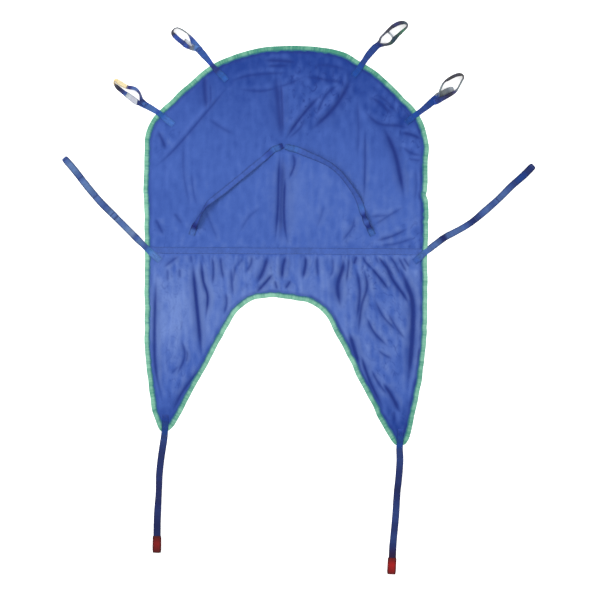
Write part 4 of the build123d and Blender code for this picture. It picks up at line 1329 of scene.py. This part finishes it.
addDyes(
    teal2=(40, 96, 160), blue2=(34, 68, 144), stone=(136, 144, 148), dim=(46, 70, 138),
    lilac=(190, 192, 206), dusky=(48, 54, 76), white=(232, 236, 240), dusk=(54, 86, 154),
    patchHead=(50, 92, 170), patchLeft=(70, 112, 190), patchTop=(34, 76, 158),
)


def alongBearing(place, bearing, before, after):
    # two places on the line through a pivot at a bearing: pivot less and plus so much of (cos, sin)
    middle = np.array([*place, 0.0]) * mm
    ahead = np.array([math.cos(math.radians(bearing)), math.sin(math.radians(bearing)), 0])
    return tuple(middle - ahead * before * mm), tuple(middle + ahead * after * mm)


def splitStrap(way, hinge, bearing, before):
    # the number of the first station past a place so far before the hinge
    start, end = alongBearing(hinge, bearing, before, 0)
    ahead = np.array(end) - np.array(start)
    share = (way[:, :3] - start) @ ahead
    return int(np.argmax(share > 0))


def bendAt(piece, first, second, place, bearing, before=4, after=24):
    # bends from one body to the next over a short span that starts just before their pivot
    start, end = alongBearing(place, bearing, before, after)
    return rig.blend(piece, first, second, start=start, end=end)


def mottled(way, amount, seed, length):
    # the way with its dye made uneven: times one plus so much of the noise along it
    way[:, 5:] *= (1 + amount * lineNoise(seed, runOf(way), length))[:, None]
    return way


# How far before its hinge a strap is parted, in millimetres, and the thick thread of bar tacks
sewnShort = 15
tackThread = dict(length=0.0055, width=0.0011, height=0.0005)


def sewStrap(name, plan, way, rims=0.0, boxShort=22, half=8.5):
    # a strap cut in two before its hinge: the sewn end rides the cloth and has the box and cross, and the
    # free part bends
    cut = splitStrap(way, plan["hinge"], plan["bearing"], sewnShort)
    sewn = layWebbing("sewnEnd_" + name, way[:cut + 1])
    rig.replaces(sewn, "sewn_end_" + name)
    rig.ride(sewn, plan["parent"])
    strap = layWebbing("strapBody_" + name, way[cut:], start=runOf(way)[cut], rims=rims)
    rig.replaces(strap, "strap_" + name)
    bendAt(strap, plan["parent"], "strap_" + name, plan["hinge"], plan["bearing"])
    places, headings = sewLine(way, boxAndCross(3.5, runOf(way)[cut] / mm - boxShort, half))
    stitches("boxStitch_" + name, places, headings, blueThread, body=plan["parent"])


for name, plan in upperStraps.items():
    strapBody, loopBody = "strap_" + name, "loop_" + name
    sewStrap(name, plan, mottled(webbingWay(plan["strap"], 0.003), 0.08, 70 + len(name), 0.03))
    loopWay = mottled(webbingWay(plan["loop"], 0.003), 0.07, 80 + len(name), 0.02)
    loop = layWebbing("loopBody_" + name, loopWay)
    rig.replaces(loop, "loop_" + name)
    bendAt(loop, strapBody, loopBody, plan["pivot"], plan["swing"], 10, 20)
    if "wrap" in plan:
        tabWay = dyed(bandPath(loopWay, *plan["wrap"]), plan["wrapDyes"])
        tab = layWebbing("tabBody_" + name, tabWay, 3.0, extra=1.2, slot="pale_tab")
    else:
        tabWay = webbingWay(plan["tab"], 0.002, thickness=1.2)
        tab = layWebbing("tabBody_" + name, tabWay, 1.2, slot="pale_tab")
    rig.replaces(tab, "tab_" + name)
    bendAt(tab, strapBody, loopBody, plan["pivot"], plan["swing"], 10, 20)
    sleeveWay = dyed(bandPath(loopWay, *plan["band"]), plan["bandDyes"])
    sleeve = layWebbing("colourBand_" + name, sleeveWay, 2.6, extra=1.0, slot=plan["bandSlot"])
    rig.replaces(sleeve, "colour_band_" + name)
    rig.ride(sleeve, loopBody)
    tackWay = webbingWay(plan["loop"][-2:], 0.003)
    places, headings = sewTack(tackWay, 8, 9)
    stitches("rootTack_" + name, places, headings, blueThread, body=strapBody, **tackThread)
print("upper straps and loops made")

# Hip straps: one webbing runs out flat, folds back at the tip and is tacked down as a chain of three loops
# Along each hip strap and its chain the dyes step between paler and darker blues: painted light and shade, paler where
# the webbing rises towards the light and darker where it dips
hipStraps = {
    "hip_left": dict(
        parent="back", hinge=(-554.0, 24.4), bearing=131.5,
        strap=[
            (-480, -36, 1.9, 0, 24, "patchHip"), (-492, -25, 1.9, 0, 25, "patchHip"),
            (-506, -12, 2.2, 0, 25, "patchHip"), (-520, 1, 3.0, 0, 23, "cyan"),
            (-533, 14, 3.1, 0, 23, "hipDark"), (-545, 26, 1.2, 0, 23, "hipMid"),
            (-557, 38, 0.1, 3, 26, "hipPale"), (-569.7, 50.6, 0.1, 5, 27, "hipDark"),
            (-587, 68, 0.1, 3, 26, "hipWhite"), (-605, 86, 0.1, -3, 26, "hipPale"),
            (-624, 105, 0.1, -4, 26, "hipMid"), (-642, 123, 0.1, 0, 26, "hipPale"),
            (-660.5, 141.6, 0.1, 0, 27, "hipPale"), (-703, 184, 0.1, 0, 27, "hipMid"),
            (-739.5, 226.4, 0.1, 0, 27, "hipDark"), (-771, 265.5, 0.1, 0, 27, "hipMid"),
            (-803, 307, 0.1, 0, 27, "hipMid"), (-833, 342, 0.1, 0, 27, "hipDark"),
            (-840, 350, 0.1, 0, 25, "hipTip"), (-843, 353.5, 0.1, 0, 21, "hipTip"),
        ],
        shades=[
            "hipTip", "hipDark", "hipPale", "hipPale", "hipDark", "hipPale", "hipPale", "hipMid", "hipMid",
            "hipDark", "hipPale", "hipMid",
        ]),
    "hip_right": dict(
        parent="back", hinge=(554.1, 3.9), bearing=39.5,
        strap=[
            (487, -42, 1.9, 0, 24, "patchRight"), (498, -32, 2.0, 0, 25, "patchRight"),
            (511, -21, 2.9, 0, 25, "blue"), (522.5, -10.6, 3.1, 0, 23, "blue"),
            (534, -1, 2.4, 0, 22, "blue"), (545, 8, 0.5, 0, 25, "hipMid"),
            (557.8, 18.2, 0.1, 3, 26, "hipMid"), (576, 32, 0.1, 4, 26, "hipMid"),
            (592.8, 44.8, 0.1, 10, 27, "hipDeep"), (604, 52, 0.1, 20, 27, "hipDeep"),
            (615, 58.5, 0.1, 12, 27, "hipMid"), (633.8, 68, 0.1, 4, 26, "hipMid"),
            (660, 82, 0.1, 0, 25, "hipMid"), (686.3, 97.3, 0.1, 0, 25, "hipDark"),
            (715.5, 117.8, 0.1, 0, 25, "hipDeep"), (756.6, 152.8, 0.1, 0, 27, "hipMid"),
            (809, 199.5, 0.1, 0, 26, "hipMid"), (855.8, 246.2, 0.1, 0, 27, "hipDark"),
            (902.5, 287.3, 0.1, 0, 28, "hipDark"), (930, 315, 0.1, 0, 28, "hipTip"),
            (937, 321.7, 0.1, 0, 26, "hipTip"), (940, 324.5, 0.1, 0, 21, "hipTip"),
        ],
        shades=[
            "hipTip", "hipDeep", "hipDeep", "blue2", "hipDim", "hipDark", "hipMid", "hipMid", "hipDark",
            "hipMid", "hipDark", "hipDeep",
        ]),
}
addDyes(
    patchHip=(88, 126, 194), patchRight=(64, 98, 178), hipWhite=(108, 130, 172), hipDim=(42, 62, 124),
    hipPale=(94, 122, 172), hipMid=(78, 104, 160), hipDark=(62, 86, 148), hipDeep=(38, 52, 108),
    hipTip=(40, 54, 104),
)
chain = dict(count=3, pitch=92.0, rise=7.6, tail=24.0, foldRadius=0.85, first=5.0)
for name, plan in hipStraps.items():
    body = "strap_" + name
    way = mottled(webbingWay(plan["strap"], 0.004), 0.08, 90 + len(name), 0.03)
    sewStrap(name, plan, way, rims=0.3, boxShort=24)
    # the fold at the tip is a half circle; from there the height is that of two layers plus rise times sin^2
    back = way[::-1].copy()
    run = runOf(back)
    reach = (chain["first"] + chain["count"] * chain["pitch"] + chain["tail"]) * mm
    steps = np.arange(0, reach, 0.003)
    top = np.stack([np.interp(steps, run, column) for column in back.T], 1)
    phase = (steps / mm - chain["first"]) / chain["pitch"]
    hump = np.sin(math.pi * np.clip(phase, 0, chain["count"])) ** 2
    top[:, 2] = (3 * chain["foldRadius"] + chain["rise"] * hump) * mm
    out = -directionsOf(top[:, :3])[0]
    angle = np.linspace(-math.pi / 2, math.pi / 2, 9)[:-1]
    bent = np.repeat(top[:1], len(angle), axis=0)
    bent[:, :3] += out * (np.cos(angle) * chain["foldRadius"] * mm)[:, None]
    bent[:, 2] = chain["foldRadius"] * (2 + np.sin(angle)) * mm
    top = dyed(np.vstack([bent, top]), plan["shades"])
    top[:, 5:] *= (1 + 0.06 * lineNoise(95 + len(name), np.arange(len(top)) * 0.003, 0.03))[:, None]
    sides = np.cross([0, 0, 1.0], directionsOf(top[:, :3]))
    sides[:len(angle) + 1] = np.cross([0, 0, 1.0], -out)
    sides = sides / np.linalg.norm(sides, axis=1, keepdims=True)
    loops = layWebbing("loopChain_" + name, top, side=sides, sharp=60, rims=0.3)
    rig.replaces(loops, "loops_" + name)
    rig.ride(loops, body)
    feet = (chain["first"] + np.arange(chain["count"] + 1) * chain["pitch"]) * mm
    tackRuns = np.interp(feet, steps, runOf(top)[len(bent):]) / mm
    tackRuns[0] += 2
    rowsOfTacks = [sewTack(top, along) for along in (*tackRuns, tackRuns[-1] + chain["tail"] - 5)]
    places, headings = (np.vstack(part) for part in zip(*rowsOfTacks))
    stitches("chainTacks_" + name, places, headings, blueThread, body=body, **tackThread)
print("hip straps and their chains made")

# Leg straps: flat webbing that narrows where it curls, ending in a folded loop of red webbing
legStraps = {
    "leg_left": dict(
        parent="leg_left", hinge=(-461.7, -701.7), bearing=267.1,
        strap=[
            (-458, -622, 1.9, 0, 22, "legCloth"), (-458.5, -640, 1.9, 0, 24, "legBlue"),
            (-459, -658, 2.1, 0, 24, "legTeal"), (-459.5, -672, 3.1, 0, 25, "legTeal"),
            (-461, -688, 3.1, 0, 25, "legTeal"), (-462.5, -703, 1.0, 0, 26, "legMid"),
            (-465, -722, 0.1, 0, 27, "legMid"), (-471, -760, 0.1, 4, 27, "legDark"),
            (-476.3, -798.6, 0.1, 8, 27, "legDark"), (-481.4, -850, 0.1, 12, 27, "legDark"),
            (-482.5, -890, 0.1, 20, 27, "legDeep"), (-484, -930, 0.1, 26, 28, "legDeep"),
            (-486, -960, 0.1, 18, 28, "legDeep"), (-488, -992, 0.3, 8, 28, "legDark"),
            (-489.5, -1030, 0.9, 4, 28, "legDeep"), (-490, -1065, 1.6, 0, 28, "legDeep"),
            (-490, -1098, 1.8, 0, 28, "legDark"),
        ],
        end=(-490.3, -1082.5, -490.8, -1146.0), red="redLeft"),
    "leg_right": dict(
        parent="leg_right", hinge=(433.1, -755.9), bearing=266.3,
        strap=[
            (436, -676, 1.9, 0, 22, "legCloth"), (435, -694, 1.9, 0, 24, "legBlue"),
            (434, -712, 2.2, 0, 24, "legTeal"), (433, -727, 3.1, 0, 25, "legTeal"),
            (431.5, -742, 3.1, 0, 25, "legTeal"), (431.4, -757, 1.0, 0, 26, "legMid"),
            (432.4, -778, 0.1, 3, 27, "legMid"), (432.4, -800, 0.1, 6, 27, "legMid"),
            (430, -838, 0.1, 10, 27, "legDark"), (426.6, -875, 0.1, 14, 27, "legDark"),
            (422.5, -910, 0.1, 16, 27, "legDeep"), (420, -945, 0.1, 14, 27, "legDark"),
            (418, -980, 0.1, 10, 27, "legMid"), (416, -1011, 0.1, 6, 27, "legMid"),
            (412.5, -1050, 0.1, 4, 27, "legDark"), (408.8, -1088.9, 0.6, 0, 27, "legMid"),
            (406, -1120, 1.2, 0, 28, "legDark"), (404.5, -1150, 1.7, 0, 28, "legPlum"),
            (403, -1180, 1.8, 0, 28, "legPlum"),
        ],
        end=(403.2, -1165.5, 399.8, -1227.5), red="redRight"),
}
addDyes(
    legCloth=(54, 80, 166), legBlue=(34, 64, 146), legTeal=(30, 68, 138), legPlum=(46, 34, 72),
    legDark=(40, 52, 104), legMid=(48, 66, 122), legDeep=(36, 44, 92), redLeft=(126, 20, 30),
    redRight=(160, 28, 34),
)
# The red end loop: distance along it, height and width in millimetres, then a brightness factor for its dye: painted
# light and shade, palest on the upper layer, darker on the lower one, darkest round the fold
endLoop = dict(reach=63.2, profile=[
    (6, 0.9, 33, 0.6), (28, 0.9, 33, 0.6), (50, 1.0, 33, 0.5), (60, 2.4, 31, 0.35), (63.2, 5.0, 29, 0.3),
    (60, 7.6, 31, 0.4), (50, 8.4, 33, 0.7), (34, 7.6, 33, 1), (18, 5.4, 33, 0.9), (6, 4.3, 33, 0.55),
    (0, 4.25, 32, 0.4),
])
for name, plan in legStraps.items():
    body = "strap_" + name
    sewStrap(name, plan, mottled(webbingWay(plan["strap"], 0.004), 0.05, 97 + len(name), 0.03), half=8)
    x1, y1, x2, y2 = plan["end"]
    span = np.array([x2 - x1, y2 - y1]) / endLoop["reach"]
    s, z, wide, depth = np.array(endLoop["profile"]).T
    # the dye times the profile's brightness factor: painted light and shade
    red = np.array(dyes[plan["red"]]) * depth[:, None]
    table = np.column_stack([(x1 + span[0] * s) * mm, (y1 + span[1] * s) * mm, z * mm, 0 * s, wide, red])
    redWay = smoothPath(table, 0.0022, depth=3)
    redWay[:, 5:] *= 1 + 0.08 * lineNoise(101, runOf(redWay), 0.02)[:, None].clip(-1, 1)
    ahead = np.array([*span, 0]) / np.linalg.norm(span)
    lying = np.cross([0, 0, 1.0], ahead)
    redLoop = layWebbing("endLoop_" + name, redWay, side=lying, sharp=60, slot="red_webbing", rims=0.4)
    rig.replaces(redLoop, "end_loop_" + name)
    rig.ride(redLoop, body)
    flatTop = redWay[::-1][:8]
    places, headings = sewLine(flatTop, boxAndCross(1.5, 9, 12.5)[:5], 0.003)
    stitches("endStitch_" + name, places, headings, redThread, body=body)
print("leg straps and red ends made")

# Handles: webbing sewn down at both ends, bowed up a little between, curling on edge near the lower end
# At the knot where the two handles meet and where each curls on edge, the darkest dyes are painted shadow; the rims
# are darkened by painted shade as well
handles = {
    "handle_left": [
        (-12, 400, 2.8, 0, 20, "handleKnot"), (-20, 397, 2.6, 0, 22, "handleKnot"),
        (-30, 392, 2.4, 0, 24, "handleSky"), (-46, 386, 2.0, 0, 25, "handleSky"),
        (-62, 372, 2.4, 4, 24, "handleDeep"), (-90, 348, 3.0, 10, 23, "handle"),
        (-130, 315, 4, 14, 23, "handle"), (-175, 278, 4.5, 15, 23, "handle"),
        (-220, 241, 4, 16, 23, "handle"), (-262, 208, 3.5, 22, 23, "handle"),
        (-290, 186, 3, 40, 24, "handle"), (-306, 168, 2.2, 62, 24, "handleDeep"),
        (-316, 151, 2.0, 70, 24, "handleDark"), (-326, 134, 2.0, 66, 24, "handleDark"),
        (-336, 115, 2.0, 56, 24, "handleDeep"), (-345, 98, 2.0, 30, 24, "handleInk"),
        (-349, 88, 1.95, 4, 24, "handleInk"), (-354, 75, 1.9, 0, 24, "handleCloth"),
        (-359, 60, 1.9, 0, 24, "handleCloth"),
    ],
    "handle_right": [
        (-3, 397, 2.8, 0, 20, "handleSky"), (14, 392, 2.4, 0, 25, "handleSky"),
        (38, 386, 2.0, 0, 25, "handleSky"), (58, 378, 2.2, 10, 25, "handle"),
        (90, 364, 2.6, 24, 25, "handle"), (130, 347, 3, 34, 25, "handle"),
        (171, 324, 3.2, 42, 25, "handle"), (210, 290, 3, 46, 25, "handle"),
        (242, 248, 2.6, 44, 25, "handle"), (266, 212, 3, 40, 25, "handle"),
        (280, 184, 2.4, 16, 25, "handle"), (286, 166, 2.2, 4, 25, "handleSky"),
        (291, 148, 2.0, 20, 25, "handle"), (296, 132, 2.0, 50, 24, "handleInk"),
        (304, 112, 2.2, 20, 24, "handle"), (314, 92, 2.0, 40, 24, "handleInk"),
        (322, 76, 1.95, 4, 24, "handleSky"), (330, 60, 1.9, 0, 24, "handleSky"),
    ],
}
addDyes(
    handle=(67, 96, 176), handleSky=(66, 104, 180), handleDeep=(52, 76, 156), handleDark=(44, 70, 146),
    handleInk=(28, 50, 126), handleKnot=(24, 56, 132), handleCloth=(72, 104, 178),
)
for name, rows in handles.items():
    way = mottled(webbingWay(rows, 0.0035), 0.05, 110 + len(name), 0.04)
    handle = layWebbing(name.replace("_", "") + "Webbing", way, rims=0.25)
    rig.replaces(handle, name)
    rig.ride(handle, "back")
    long = runOf(way)[-1] / mm
    parts = [sewLine(way, boxAndCross(4, 30)), sewLine(way, boxAndCross(long - 27, long - 4))]
    parts += [sewTack(way, 34), sewTack(way, long - 31)]
    places, headings = (np.vstack(part) for part in zip(*parts))
    stitches(name.replace("_", "") + "Stitches", places, headings, blueThread, body="back")
print("handles made")

# The cloth is declared as sheets: the flat size each was cut to, and what it lies on
sheets = (
    (torso, torsoArea, (1.080, 0.580)), (head, headArea, (0.905, 0.215)), (seat, seatArea, (1.080, 0.190)),
    (legLeft, legLeftArea, (0.430, 0.560)), (legRight, legRightArea, (0.505, 0.610)),
)
for cloth, area, flat in sheets:
    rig.slot(cloth, "light_blue_cloth" if cloth in (seat, legLeft, legRight) else "royal_blue_cloth")
    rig.sheet(cloth, flat=flat, held="laid", rests_on=["floor"], area=area)
print("sheets declared")

sizes = dict(cad=[list(map(float, c)) for c in cadBox], visual=[list(map(float, c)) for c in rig.bounds()])
with open("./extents.json", "w") as out:
    json.dump(sizes, out)
